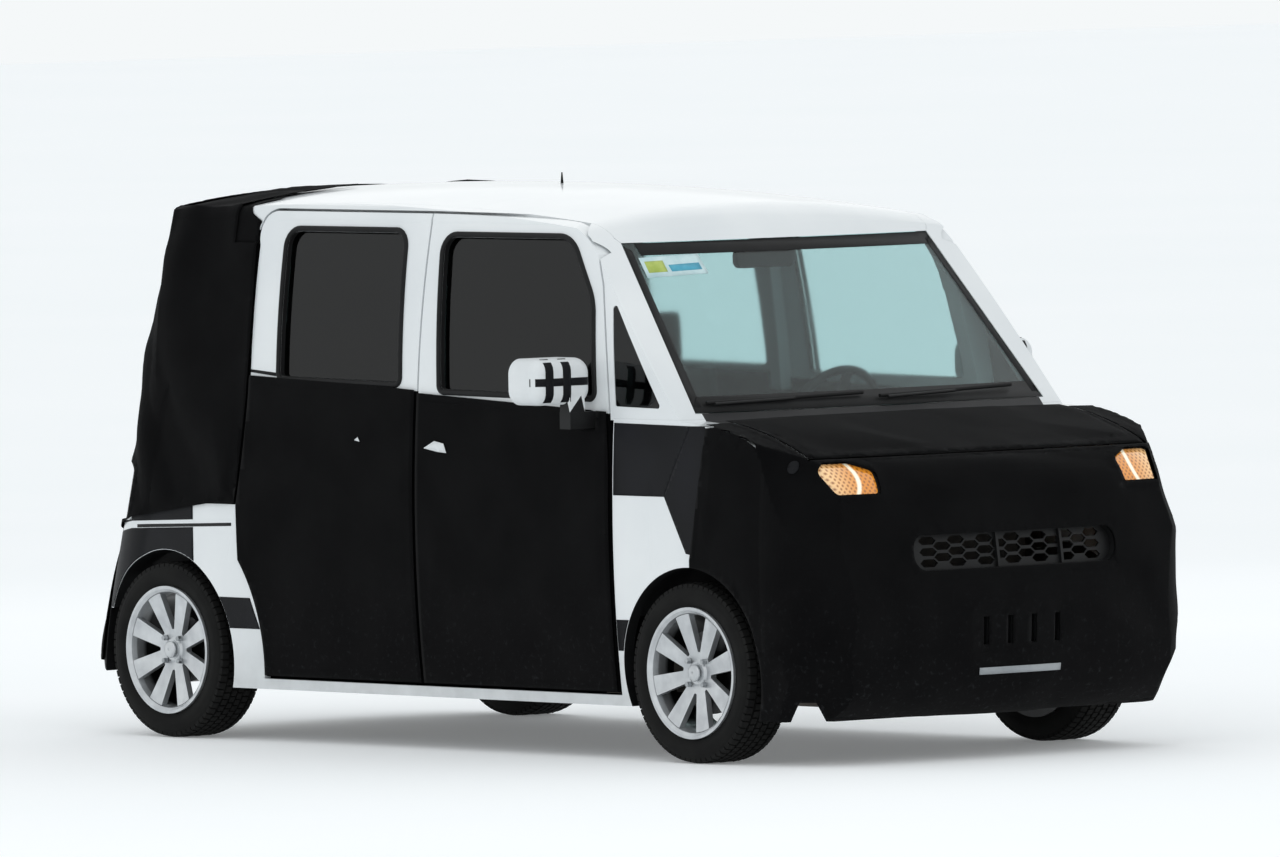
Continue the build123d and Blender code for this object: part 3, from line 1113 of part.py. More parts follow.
# Dished disc that the spokes are cut from, in distance outwards and radius, and the window between two spokes
HUB_OUT = 62
SPOKE_DISC = corners((38, 0), (HUB_OUT, 0), (HUB_OUT, 34), (56, 42), (60, 70), (79, BARREL_RADIUS + 3), (58, BARREL_RADIUS + 3),
                     (38, 66))
SPOKE_WINDOW = rounded((64, -5, 4), (190, -44, 2), (190, 44, 2), (64, 5, 4))
DRUM_RADIUS = 105
# name, side (+1 is the car's left), axle, brake radius, brake's inner and outer faces, turn of the spokes in degrees
WHEELS = [
    ("front_left", 1, FRONT_AXLE_Y, DISC_RADIUS, -5, 5, 14),
    ("front_right", -1, FRONT_AXLE_Y, DISC_RADIUS, -5, 5, 14),
    ("rear_left", 1, REAR_AXLE_Y, DRUM_RADIUS, -30, 10, 0),
    ("rear_right", -1, REAR_AXLE_Y, DRUM_RADIUS, -30, 10, 22.5),
]
for name, side, axle_y, brake_radius, brake_in, brake_out, turn in WHEELS:
    axle = Axis((side * TRACK / 2, axle_y, HUB_Z), (1, 0, 0))
    with BuildPart() as tyre:
        revolve(outline(wheel_side(side, axle_y), TYRE_PATH), axis=axle)
    save(tyre, "tyre_" + name)
    with BuildPart() as spokes:
        revolve(outline(wheel_side(side, axle_y), SPOKE_DISC), axis=axle)
        with BuildSketch(wheel_face(side, axle_y, 0)):
            with PolarLocations(0, SPOKES, start_angle=turn + 180 / SPOKES):
                add(outline(Plane.XY, SPOKE_WINDOW))
        extrude(amount=LIP_HALF, mode=Mode.SUBTRACT)
    with BuildPart() as rim:
        revolve(outline(wheel_side(side, axle_y), RIM_PATH), axis=axle)
        add(spokes.part)
        with BuildSketch(wheel_face(side, axle_y, brake_in)):
            Circle(brake_radius)
        extrude(amount=brake_out - brake_in)
        with BuildSketch(wheel_face(side, axle_y, brake_in)):
            Circle(30)
        extrude(amount=HUB_OUT + 3 - brake_in)
    save(rim, "rim_" + name)
    print(name, [round(x.volume) for x in tyre.solids() + rim.solids()])

# Front knuckles: a column on the lower ball, a boss for the hub and a calliper over the disc
CALLIPER_RADII = (95, 160)
BOSS_OUT = (-60, -10)
KNUCKLE_COLUMN = [(0, 0), (14, 0), (20, 10), (20, KNUCKLE_TOP), (0, KNUCKLE_TOP)]
for side, label in ((1, "knuckle_left"), (-1, "knuckle_right")):
    with BuildPart() as knuckle:
        add(pin_turned(side, KNUCKLE_COLUMN))
        with BuildSketch(wheel_face(side, FRONT_AXLE_Y, BOSS_OUT[0])):
            Circle(CALLIPER_RADII[1])
            Circle(CALLIPER_RADII[0], mode=Mode.SUBTRACT)
            with Locations((130, 0)):
                Rectangle(100, 130, mode=Mode.INTERSECT)
        extrude(amount=75)
        with BuildSketch(wheel_face(side, FRONT_AXLE_Y, -10)):
            Circle(DISC_RADIUS + 6)
        extrude(amount=20, mode=Mode.SUBTRACT)
        with BuildSketch(wheel_face(side, FRONT_AXLE_Y, BOSS_OUT[0])):
            Circle(40)
            with Locations((60, 0)):
                Rectangle(90, 60)
        extrude(amount=18)
        with BuildSketch(wheel_face(side, FRONT_AXLE_Y, BOSS_OUT[0] - 12)):
            Circle(40)
            with Locations((0, 0)):
                Rectangle(60, 150)
        extrude(amount=22)
        with BuildSketch(wheel_face(side, FRONT_AXLE_Y, BOSS_OUT[0])):
            Circle(40)
        extrude(amount=BOSS_OUT[1] - BOSS_OUT[0])
    save(knuckle, label)
    print(label, [round(x.volume) for x in knuckle.solids()])
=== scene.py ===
# %% [markdown]
# # A tall five-door hatchback under a cloth disguise
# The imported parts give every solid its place. This lesson adds the looks: paint, glass, stretched cloth, tape,
# tyres with tread, lamps and trim. All lengths are metres: the nose faces -Y, the car's left is +X, up is +Z.

# %% Load the parts
import math

import bmesh
import bpy
from mathutils import Matrix, Vector, noise
from mathutils.bvhtree import BVHTree
from mathutils.kdtree import KDTree


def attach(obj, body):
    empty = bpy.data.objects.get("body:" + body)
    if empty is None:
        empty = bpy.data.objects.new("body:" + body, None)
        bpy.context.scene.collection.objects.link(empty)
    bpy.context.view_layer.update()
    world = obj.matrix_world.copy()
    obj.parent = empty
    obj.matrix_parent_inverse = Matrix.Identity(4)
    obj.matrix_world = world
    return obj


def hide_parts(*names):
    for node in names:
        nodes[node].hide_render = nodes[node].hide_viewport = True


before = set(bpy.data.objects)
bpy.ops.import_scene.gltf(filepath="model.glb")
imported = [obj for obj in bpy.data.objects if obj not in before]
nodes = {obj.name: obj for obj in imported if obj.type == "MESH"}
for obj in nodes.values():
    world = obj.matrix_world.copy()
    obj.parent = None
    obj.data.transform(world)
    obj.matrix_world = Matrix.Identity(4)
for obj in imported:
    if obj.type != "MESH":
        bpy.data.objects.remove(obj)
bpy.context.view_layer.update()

# %% [markdown]
# ## Camera
# A long lens from far off, a little above the bonnet, looks along the car's right front corner. Such a lens keeps
# the far side nearly as large as the near one, so the distance and the focal length are set together.

# %% Camera
FOCAL_PIXELS = 18167.483
FRAME_WIDTH = 1280
TURN = math.radians(40.642)
FALL = math.radians(2.258)
ROLL = math.radians(-0.937)
DISTANCE = 56.619785
AIM_RIGHT = 0.020221
AIM_HEIGHT = 0.968551

ahead = Vector((math.sin(TURN) * math.cos(FALL), math.cos(TURN) * math.cos(FALL), -math.sin(FALL)))
level_right = Vector((math.cos(TURN), -math.sin(TURN), 0))
level_up = level_right.cross(ahead)
right = level_right * math.cos(ROLL) + level_up * math.sin(ROLL)
up = level_up * math.cos(ROLL) - level_right * math.sin(ROLL)
lens = bpy.data.cameras.new("camera")
lens.sensor_width = 36
lens.lens = FOCAL_PIXELS * lens.sensor_width / FRAME_WIDTH
lens.clip_end = 400
camera = bpy.data.objects.new("camera", lens)
bpy.context.scene.collection.objects.link(camera)
place = Matrix((right, up, -ahead)).transposed().to_4x4()
place.translation = Vector((0, 0, AIM_HEIGHT)) + level_right * AIM_RIGHT - ahead * DISTANCE
camera.matrix_world = place
bpy.context.scene.camera = camera
bpy.context.scene.view_settings.view_transform = "Standard"
print("camera at", [round(v, 2) for v in place.translation], "lens", round(lens.lens, 1), "mm")

# %% [markdown]
# ## Helpers for colours and materials
# One function adds a node with its settings and links, one starts a material, and one makes a colour that drifts
# between two, because no real surface is one even tone. Colours are given as they look on a screen and are made
# linear in one place. The scale of a pattern is how often it repeats in a metre.

# %% Colours and materials


def colour(code):
    """Linear colour of a screen colour such as 1a2b3c."""
    parts = [int(code[i:i + 2], 16) / 255 for i in (0, 2, 4)]
    return [c / 12.92 if c <= 0.04045 else ((c + 0.055) / 1.055) ** 2.4 for c in parts] + [1]


def add(tree, kind, inputs=None, **properties):
    """One node, its properties set and its inputs given a value or a link."""
    made = tree.nodes.new(kind)
    for name, value in properties.items():
        setattr(made, name, value)
    for name, value in (inputs or {}).items():
        if isinstance(value, bpy.types.NodeSocket):
            tree.links.new(value, made.inputs[name])
        else:
            made.inputs[name].default_value = value
    return made


def material(name, **sockets):
    """A material with its main shader; the sockets are set by name, with _ for a space."""
    made = bpy.data.materials.new(name)
    made.use_nodes = True
    shader = made.node_tree.nodes["Principled BSDF"]
    for socket, value in sockets.items():
        shader.inputs[socket.replace("_", " ")].default_value = value
    return made, made.node_tree, shader


def mottled(tree, low, high, scale, detail=4):
    """The place on the piece, and a colour that drifts between two in soft patches."""
    where = add(tree, "ShaderNodeTexCoord").outputs["Object"]
    cloud = add(tree, "ShaderNodeTexNoise", {"Vector": where, "Scale": scale, "Detail": detail}).outputs["Fac"]
    ramp = add(tree, "ShaderNodeValToRGB", {"Fac": cloud})
    ramp.color_ramp.elements[0].position, ramp.color_ramp.elements[1].position = 0.35, 0.68
    ramp.color_ramp.elements[0].color, ramp.color_ramp.elements[1].color = colour(low), colour(high)
    return where, ramp.outputs["Color"]


print("a mid grey on the screen is linear", round(colour("808080")[0], 3))

# %% [markdown]
# ## Helpers for meshes
# A piece is built in bmesh, Blender's mesh editor for scripts, then made an object and given its surface and the
# body that it moves with. Modifiers are applied before a piece is handed over, so that its mesh is final.

# %% Meshes
MERGE = 0.00005


def finish_piece(made, body, surface, smooth=True):
    """Gives a piece its surface and its body."""
    made.data.materials.clear()
    made.data.materials.append(surface)
    made.data.polygons.foreach_set("use_smooth", [smooth] * len(made.data.polygons))
    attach(made, body)
    return made


def from_bmesh(name, bm):
    """A new object that takes the place of a bmesh."""
    data = bpy.data.meshes.new(name)
    bm.to_mesh(data)
    bm.free()
    made = bpy.data.objects.new(name, data)
    bpy.context.scene.collection.objects.link(made)
    return made


def baked(made):
    """The same object with its modifiers applied."""
    graph = bpy.context.evaluated_depsgraph_get()
    data = bpy.data.meshes.new_from_object(made.evaluated_get(graph))
    old = made.data
    made.modifiers.clear()
    made.data = data
    if isinstance(old, bpy.types.Mesh):
        bpy.data.meshes.remove(old)
    return made


def tree_of(names):
    """Search tree over several solids."""
    bm = bmesh.new()
    for name in names:
        bm.from_mesh(nodes[name].data)
    made = BVHTree.FromBMesh(bm)
    bm.free()
    return made


print("points closer than", MERGE, "m are merged")

# %% [markdown]
# ## Laying flat outlines on the body
# Tape, stickers and stripes are cut flat and then laid on a panel. Here each one is an outline in the side, front
# or top view. It is cut into small squares, and every point is cast at the panel from outside the car, so the
# patch bends as the panel does. A copy of the panel's own faces would keep their long triangles instead.

# %% Outlines laid on a panel
BESIDE, BEYOND = 3, 4
# for each way: how the outline's two numbers become a starting point, and the direction of the cast
WAYS = {
    "right": (lambda a, b: Vector((-BESIDE, a, b)), Vector((1, 0, 0))),
    "left": (lambda a, b: Vector((BESIDE, a, b)), Vector((-1, 0, 0))),
    "front": (lambda a, b: Vector((a, -BEYOND, b)), Vector((0, 1, 0))),
    "top": (lambda a, b: Vector((a, b, BEYOND)), Vector((0, 0, -1))),
}


def laid(way, a, b, target, lift):
    """Point of the target met by the cast, a lift above its surface."""
    start, along = WAYS[way][0](a, b), WAYS[way][1]
    spot, normal, face, reach = target.ray_cast(start, along)
    if spot is None:
        return None
    if normal.dot(along) > 0:
        normal = -normal
    return spot + normal * lift


def patch(name, way, outline, target, lift, thick, surface, body, step=0.03):
    """Flat outline cut into squares, laid on the target and given a thickness."""
    bm = bmesh.new()
    bm.faces.new([bm.verts.new((a, b, 0)) for a, b in outline])
    bmesh.ops.triangulate(bm, faces=bm.faces[:])
    for axis in (0, 1):
        low = min(p[axis] for p in outline)
        high = max(p[axis] for p in outline)
        for i in range(1, int((high - low) / step) + 1):
            cut, normal = Vector(), Vector()
            cut[axis], normal[axis] = low + i * step, 1
            bmesh.ops.bisect_plane(bm, geom=bm.verts[:] + bm.edges[:] + bm.faces[:], plane_co=cut, plane_no=normal)
    missed = []
    for v in bm.verts:
        spot = laid(way, v.co.x, v.co.y, target, lift)
        if spot is None:
            missed.append(v)
        else:
            v.co = spot
    bmesh.ops.delete(bm, geom=missed, context="VERTS")
    bm.normal_update()
    turned_in = [f for f in bm.faces if f.normal.dot(WAYS[way][1]) > 0]
    bmesh.ops.reverse_faces(bm, faces=turned_in)
    made = from_bmesh(name, bm)
    solid = made.modifiers.new("thickness", "SOLIDIFY")
    solid.thickness, solid.offset = thick, 1
    return finish_piece(baked(made), body, surface)


print("ways to lay an outline:", ", ".join(WAYS))

# %% [markdown]
# ## Cords
# Seals, wiper blades and wiper arms are round cords through points. A curve with a round bevel gives that at once,
# and it is made a mesh straight away, because a curve has no faces of its own to hand over.

# %% Cords


def tube(name, points, radius, surface, body, closed=False):
    """Round cord through points."""
    line = bpy.data.curves.new(name, "CURVE")
    line.dimensions = "3D"
    line.bevel_depth = radius
    line.bevel_resolution = 2
    line.use_fill_caps = True
    run = line.splines.new("POLY")
    run.points.add(len(points) - 1)
    for spot, p in zip(run.points, points):
        spot.co = (*p, 1)
    run.use_cyclic_u = closed
    curve = bpy.data.objects.new(name, line)
    bpy.context.scene.collection.objects.link(curve)
    data = bpy.data.meshes.new_from_object(curve.evaluated_get(bpy.context.evaluated_depsgraph_get()))
    bpy.data.objects.remove(curve)
    made = bpy.data.objects.new(name, data)
    bpy.context.scene.collection.objects.link(made)
    return finish_piece(made, body, surface)


def spaced(outline, step):
    """Closed outline with points added so that none are further apart than a step."""
    points = []
    for i, p in enumerate(outline):
        p, q = Vector(p), Vector(outline[(i + 1) % len(outline)])
        count = max(1, math.ceil((q - p).length / step))
        points += [tuple(p.lerp(q, k / count)) for k in range(count)]
    return points


print("a metre square in steps of 0.3 m has", len(spaced([(0, 0), (1, 0), (1, 1), (0, 1)], 0.3)), "points")

# %% [markdown]
# ## Paint
# The panels are pressed steel, sprayed white under clear lacquer. A faint drift of grime keeps them from looking
# freshly washed, and it is stronger low down, where spray from the road lands.

# %% White paint
# sprayed lacquer: a soft sheen with small sharp lights in it
PAINT_ROUGHNESS, PAINT_COAT = 0.32, 0.6
SPRAY_TOP, SPRAY_FOOT, SPRAY_SHARE = 0.42, 0.15, 0.55

white_paint, tree, shader = material("white_paint", Roughness=PAINT_ROUGHNESS, Coat_Weight=PAINT_COAT,
                                     Coat_Roughness=0.08)
where, tone = mottled(tree, "e4e8ea", "eef1f2", 2.2)
height = add(tree, "ShaderNodeSeparateXYZ", {"Vector": where}).outputs["Z"]
low = add(tree, "ShaderNodeMapRange", {"Value": height, "From Min": SPRAY_TOP, "From Max": SPRAY_FOOT,
                                       "To Max": SPRAY_SHARE}).outputs["Result"]
spray = add(tree, "ShaderNodeTexNoise", {"Vector": where, "Scale": 14, "Detail": 6}).outputs["Fac"]
amount = add(tree, "ShaderNodeMath", {0: low, 1: spray}, operation="MULTIPLY").outputs["Value"]
dirty = add(tree, "ShaderNodeMix", {"Factor": amount, 6: tone, 7: colour("8d8f8f")}, data_type="RGBA").outputs[2]
tree.links.new(dirty, shader.inputs["Base Color"])
print("spray reaches", SPRAY_TOP, "m up")

# %% [markdown]
# ## Cloth folded round the edges of doors and frames, and painted shade in the jambs
# The disguise is folded round the door edges. Below the belt, the jambs behind them are painted black as painted shade
# of the door gaps. Cloth pieces there would be pinched by the hinges, so the paint itself turns black behind masks.
# Each mask holds on one side of a plane: a direction, and the limit of the place's reach along it.

# %% Paint with cloth and painted shade
# sockets that differ: value on paint, value on the black of cloth and of painted shade
CLOTH_AND_SHADE_GLOSS = {"Coat Weight": (PAINT_COAT, 0.0), "Roughness": (PAINT_ROUGHNESS, 0.95),
                 "Specular IOR Level": (0.5, 0.05)}


def paint_with_cloth_and_shade(name, *places):
    """White paint that turns black in some places, each where all of its masks hold: cloth in some, painted shade in
    others.
    """
    made = white_paint.copy()
    made.name = name
    tree = made.node_tree
    shader = tree.nodes["Principled BSDF"]
    paint = shader.inputs["Base Color"].links[0].from_socket
    place = add(tree, "ShaderNodeTexCoord").outputs["Object"]
    clothed_or_shaded = 0.0
    for masks in places:
        held = 1.0
        for along, limit in masks:
            reach = add(tree, "ShaderNodeVectorMath", {0: place, 1: along}, operation="DOT_PRODUCT").outputs["Value"]
            behind = add(tree, "ShaderNodeMath", {0: reach, 1: limit}, operation="LESS_THAN").outputs["Value"]
            held = add(tree, "ShaderNodeMath", {0: held, 1: behind}, operation="MULTIPLY").outputs["Value"]
        clothed_or_shaded = add(tree, "ShaderNodeMath", {0: clothed_or_shaded, 1: held}, operation="MAXIMUM").outputs["Value"]
    both = add(tree, "ShaderNodeMix", {"Factor": clothed_or_shaded, 6: paint, 7: colour("060607")}, data_type="RGBA").outputs[2]
    tree.links.new(both, shader.inputs["Base Color"])
    for socket, (on_paint, on_black) in CLOTH_AND_SHADE_GLOSS.items():
        value = add(tree, "ShaderNodeMapRange", {"Value": clothed_or_shaded, "To Min": on_paint, "To Max": on_black})
        tree.links.new(value.outputs["Result"], shader.inputs[socket])
    return made


# upper edge of the door cloth: height at the middle of the car's length, and rise per metre rearwards
CLOTH_TOP = {"front": (1.102, 0.0457), "rear": (1.1134, 0.037)}
HEM_FOLD = 0.006
QUARTER_FRONT, QUARTER_FOOT, QUARTER_TOP = 0.84, 0.742, 1.6
# jambs painted black as painted shade of the door gaps: top at the middle of the car's length, rise per metre
# rearwards, reach out from the middle
JAMB_TOP, JAMB_RISE, JAMB_DEEP = 1.06, 0.05, 0.742

door_paint = {}
for end, (top, rise) in CLOTH_TOP.items():
    door_paint[end] = paint_with_cloth_and_shade(f"{end}_door_paint", [((0, -rise, 1), top - HEM_FOLD)])
quarter_masks = [((0, -1, 0), -QUARTER_FRONT), ((0, 0, -1), -QUARTER_FOOT), ((0, 0, 1), QUARTER_TOP)]
frame_paint = {}
for side, sign in (("left", 1), ("right", -1)):
    # below the belt the jamb is black: painted shade of the door gap, not the colour of the real jamb
    jamb_shade_masks = [((0, -JAMB_RISE, 1), JAMB_TOP), ((sign, 0, 0), JAMB_DEEP)]
    frame_paint[side] = paint_with_cloth_and_shade(f"{side}_frame_paint", jamb_shade_masks, quarter_masks)
print("paints:", white_paint.name, *[m.name for m in [*door_paint.values(), *frame_paint.values()]])

# %% [markdown]
# ## Steel, plastic and rubber
# Chassis steel is dipped in black primer, which leaves it gritty. Plastic is moulded in an etched tool, so it is
# grained and dull, and rubber is duller still. The real grain is about half a millimetre. It is drawn about twice
# as coarse, so that it shows.

# %% Steel, plastic and rubber
# primed steel: dull black, broken up by fine grit
black_steel, tree, shader = material("black_steel", Roughness=0.5, Metallic=0.3)
where, tone = mottled(tree, "1c1c1e", "2a2a2b", 9)
tree.links.new(tone, shader.inputs["Base Color"])
grit = add(tree, "ShaderNodeTexNoise", {"Vector": where, "Scale": 260, "Detail": 3}).outputs["Fac"]
bump = add(tree, "ShaderNodeBump", {"Height": grit, "Strength": 0.25, "Distance": 0.0008}).outputs["Normal"]
tree.links.new(bump, shader.inputs["Normal"])


def grained(name, low, high, roughness, grain=900, gloss=0.3):
    """Moulded plastic or rubber, with a number of grains to the metre: the grain spreads every light softly."""
    made, tree, shader = material(name, Roughness=roughness, Specular_IOR_Level=gloss)
    where, tone = mottled(tree, low, high, 12)
    tree.links.new(tone, shader.inputs["Base Color"])
    cells = add(tree, "ShaderNodeTexVoronoi", {"Vector": where, "Scale": grain}).outputs["Distance"]
    bump = add(tree, "ShaderNodeBump", {"Height": cells, "Strength": 0.3, "Distance": 0.0004}).outputs["Normal"]
    tree.links.new(bump, shader.inputs["Normal"])
    return made


black_plastic = grained("black_plastic", "0c0c0d", "141516", 0.55)
trim_plastic = grained("trim_plastic", "17181a", "212326", 0.62, 700)
seal_rubber = grained("seal_rubber", "0c0c0d", "141415", 0.7)
tyre_rubber = grained("tyre_rubber", "0c0c0c", "151514", 0.82, 500, 0.2)
print("materials so far:", len(bpy.data.materials))

# %% [markdown]
# ## Alloy, iron and stainless steel
# The wheels are cast aluminium under bright lacquer, with painted shade in the pockets behind their spokes. Knuckles,
# hubs and engine are sand-cast iron. The exhaust is stainless steel that has bloomed brown with heat.

# %% Alloy, iron and stainless steel
# distance from the car's middle at which the painted shade of the pockets ends and the bright faces begin
POCKET_SHADE_OUT, FACE_IN = 0.722, 0.738
alloy, tree, shader = material("alloy", Metallic=0.75, Roughness=0.34, Coat_Weight=0.5, Coat_Roughness=0.15)
where, tone = mottled(tree, "b9bcbf", "d0d3d5", 18)
across = add(tree, "ShaderNodeSeparateXYZ", {"Vector": where}).outputs["X"]
out = add(tree, "ShaderNodeMath", {0: across}, operation="ABSOLUTE").outputs["Value"]
deep = add(tree, "ShaderNodeMapRange", {"Value": out, "From Min": POCKET_SHADE_OUT, "From Max": FACE_IN}).outputs["Result"]
# painted shade: the pockets behind the spokes are dark grey, fading into the bright faces
shade = add(tree, "ShaderNodeMix", {"Factor": deep, 6: colour("2b2b2c"), 7: tone}, data_type="RGBA").outputs[2]
tree.links.new(shade, shader.inputs["Base Color"])

# rough and pitted by the sand: it hardly shines at all
cast_iron, tree, shader = material("cast_iron", Metallic=0.6, Roughness=0.7)
where, tone = mottled(tree, "2a2826", "3a3530", 30)
tree.links.new(tone, shader.inputs["Base Color"])
pits = add(tree, "ShaderNodeTexNoise", {"Vector": where, "Scale": 420, "Detail": 5}).outputs["Fac"]
bump = add(tree, "ShaderNodeBump", {"Height": pits, "Strength": 0.5, "Distance": 0.001}).outputs["Normal"]
tree.links.new(bump, shader.inputs["Normal"])

exhaust_steel, tree, shader = material("exhaust_steel", Metallic=0.9, Roughness=0.45)
where, tone = mottled(tree, "5d564f", "8b857e", 8, 6)
tree.links.new(tone, shader.inputs["Base Color"])
bright_steel, tree, shader = material("bright_steel", Metallic=0.9, Roughness=0.3)
where, tone = mottled(tree, "8f9396", "b5b8ba", 40)
tree.links.new(tone, shader.inputs["Base Color"])
print("materials so far:", len(bpy.data.materials))

# %% [markdown]
# ## Glass
# The windscreen and the left windows are clear with a faint green-blue tint. The right windows are darker. A thin
# uneven film of dirt makes each pane a little rougher in places, which softens what is seen in it.

# %% Glass
FILM = 0.06


def glazing(name, code, roughness=0.02, bend=1.4):
    """Toughened glass of one tint under a film of dirt; a low bend of light keeps its mirror image weak."""
    made, tree, shader = material(name, Roughness=roughness, IOR=bend, Transmission_Weight=1.0,
                                  Base_Color=colour(code))
    where = add(tree, "ShaderNodeTexCoord").outputs["Object"]
    film = add(tree, "ShaderNodeTexNoise", {"Vector": where, "Scale": 2.5, "Detail": 5}).outputs["Fac"]
    veil = add(tree, "ShaderNodeMapRange", {"Value": film, "To Min": roughness, "To Max": roughness + FILM})
    tree.links.new(veil.outputs["Result"], shader.inputs["Roughness"])
    return made


clear_glass = glazing("clear_glass", "d3e9e9")
dark_glass = glazing("dark_glass", "1d2222", 0.02, 1.36)
amber_glass = glazing("amber_glass", "f6b565", 0.05)
red_glass = glazing("red_glass", "a01a16", 0.05)
print("glass:", clear_glass.name, dark_glass.name, amber_glass.name, red_glass.name)

# %% [markdown]
# ## Cloth and tape
# The disguise is black coated fabric, stretched over foam. Its weave is about a millimetre and a half, too fine to
# see from far off but right up close. Dust and dried spray lighten it in streaks low down. Seat fabric is coarser
# and softer, and the tapes are smoother.

# %% Cloth and tape
# distance between the bands of a wave texture at a scale of 1
WAVE_AT_ONE = 0.314
DUST_FOOT = 0.15


def woven(name, low, high, pitch, roughness=0.85, sheen=0.02, dust="5b5e60", dust_top=0.75, gloss=0.3):
    """Fabric with threads a pitch apart: it takes the light evenly, and dust sits on it up to a height."""
    made, tree, shader = material(name, Roughness=roughness, Specular_IOR_Level=gloss, Sheen_Weight=sheen,
                                  Sheen_Roughness=0.5)
    where, tone = mottled(tree, low, high, 5, 6)
    height = add(tree, "ShaderNodeSeparateXYZ", {"Vector": where}).outputs["Z"]
    low_down = add(tree, "ShaderNodeMapRange", {"Value": height, "From Min": dust_top, "From Max": DUST_FOOT,
                                                "To Max": 0.5}).outputs["Result"]
    specks = add(tree, "ShaderNodeTexNoise", {"Vector": where, "Scale": 60, "Detail": 8, "Roughness": 0.7})
    sharp = add(tree, "ShaderNodeMapRange", {"Value": specks.outputs["Fac"], "From Min": 0.56, "From Max": 0.74})
    amount = add(tree, "ShaderNodeMath", {0: low_down, 1: sharp.outputs["Result"]}, operation="MULTIPLY")
    dusty = add(tree, "ShaderNodeMix", {"Factor": amount.outputs["Value"], 6: tone, 7: colour(dust)},
                data_type="RGBA").outputs[2]
    tree.links.new(dusty, shader.inputs["Base Color"])
    waves = {"Vector": where, "Scale": WAVE_AT_ONE / pitch, "Distortion": 0.4}
    warp = add(tree, "ShaderNodeTexWave", waves, bands_direction="Z").outputs["Fac"]
    weft = add(tree, "ShaderNodeTexWave", waves, bands_direction="DIAGONAL").outputs["Fac"]
    threads = add(tree, "ShaderNodeMath", {0: warp, 1: weft}, operation="MAXIMUM").outputs["Value"]
    bump = add(tree, "ShaderNodeBump", {"Height": threads, "Strength": 0.35, "Distance": 0.0005}).outputs["Normal"]
    tree.links.new(bump, shader.inputs["Normal"])
    return made


disguise = woven("disguise_cloth", "040405", "0a0a0b", 0.0016, 0.95, 0.02, "3a3c3e", 0.6, 0.09)
seat_fabric = woven("seat_fabric", "141416", "1f2023", 0.002, 0.8, 0.1, "303030")
dark_tape = woven("dark_tape", "0a0b0e", "121318", 0.0008, 0.5, 0.0, "44474a", 0.5, 0.15)
white_tape = woven("white_tape", "dfe3e5", "eceff0", 0.0008, 0.45, 0.0, "9a9c9c", 0.5)
grey_tape = woven("grey_tape", "8f9498", "a9adb0", 0.0008, 0.35, 0.0, "77797a", 0.5)
print("cloth and tape made")

# %% [markdown]
# ## Finish of the solids
# Each solid that stays in view takes the material of what it is made of. The walls that turn in at the wheel
# arches are black plastic: they are told from the panel by their distance from the axle and by their direction.

# %% Assign the finishes
FINISHES = [
    (white_paint, ["roof_panel", "front_fenders", "bonnet", "tailgate"]),
    (frame_paint["left"], ["side_frame_left"]), (frame_paint["right"], ["side_frame_right"]),
    (door_paint["front"], ["front_door_left", "front_door_right"]),
    (door_paint["rear"], ["rear_door_left", "rear_door_right"]),
    (black_plastic, ["front_bumper", "rear_bumper", "grille", "wheel_liners", "fuel_tank"]),
    (black_steel, ["front_structure", "floor_pan", "front_subframe", "front_struts", "rear_axle"]),
    (trim_plastic, ["dashboard", "steering_wheel", "interior_mirror"]),
    (clear_glass, ["windscreen", "front_door_left_glass", "rear_door_left_glass"]),
    (dark_glass, ["front_door_right_glass", "rear_door_right_glass", "quarter_glass", "tailgate_glass"]),
    (amber_glass, ["headlamps"]), (red_glass, ["tail_lamps"]),
    (alloy, [n for n in nodes if n.startswith("rim_")]), (tyre_rubber, [n for n in nodes if n.startswith("tyre_")]),
    (cast_iron, ["knuckle_left", "knuckle_right", "engine"]), (exhaust_steel, ["exhaust"]),
    (seat_fabric, ["front_seats", "rear_seat"]), (white_tape, ["mirror_left", "mirror_right"]),
]
for surface, names in FINISHES:
    for name in names:
        nodes[name].data.materials.clear()
        nodes[name].data.materials.append(surface)
print("finished solids:", sum(len(names) for surface, names in FINISHES))

AXLES = {"front": -1.164, "rear": 1.356}
TYRE_RADIUS = 0.276
# panel: its axle, and the radius that holds the arch's wall
ARCH_WALLS = {"front_fenders": ("front", 0.326), "side_frame_left": ("rear", 0.320),
              "side_frame_right": ("rear", 0.320)}
SIDEWAYS = 0.5
for name, (end, reach) in ARCH_WALLS.items():
    panel = nodes[name].data
    panel.materials.append(black_plastic)
    for face in panel.polygons:
        off = math.hypot(face.center.y - AXLES[end], face.center.z - TYRE_RADIUS)
        if off < reach and abs(face.normal.x) < SIDEWAYS:
            face.material_index = 1
print("arch walls in", ", ".join(ARCH_WALLS))

# %% [markdown]
# ## Cutting the cloth covers
# Each cover is one layer of the body's form. Its outer face is peeled off the solid, by keeping the faces that look
# away from the car and have the cover's thin wall behind them, and it is cut into a fine net that can be folded.

# %% Outer face and net
NET = 0.022
THICKEST = 0.012
# the middle of the car, a line that every outer face looks away from: its reach along Y and Z
SPINE_Y, SPINE_Z = (-1.1, 1.2), (0.5, 1.1)
STEP_IN = 0.0005
NEARLY_FLAT = 0.92
KNIFE = 0.0004


def outer_layer(name):
    """The outward faces of a cover's solid, as a mesh."""
    bm = bmesh.new()
    bm.from_mesh(nodes[name].data)
    solid = BVHTree.FromBMesh(bm)
    doomed = []
    for f in bm.faces:
        centre = f.calc_center_median()
        spine = Vector((0, max(SPINE_Y[0], min(SPINE_Y[1], centre.y)), min(SPINE_Z[1], max(SPINE_Z[0], centre.z))))
        spot, normal, face, reach = solid.ray_cast(centre - f.normal * STEP_IN, -f.normal)
        thin = spot is not None and reach < THICKEST
        if not thin or f.normal.dot(centre - spine) < 0:
            doomed.append(f)
    bmesh.ops.delete(bm, geom=doomed, context="FACES")
    bmesh.ops.remove_doubles(bm, verts=bm.verts, dist=MERGE)
    return bm


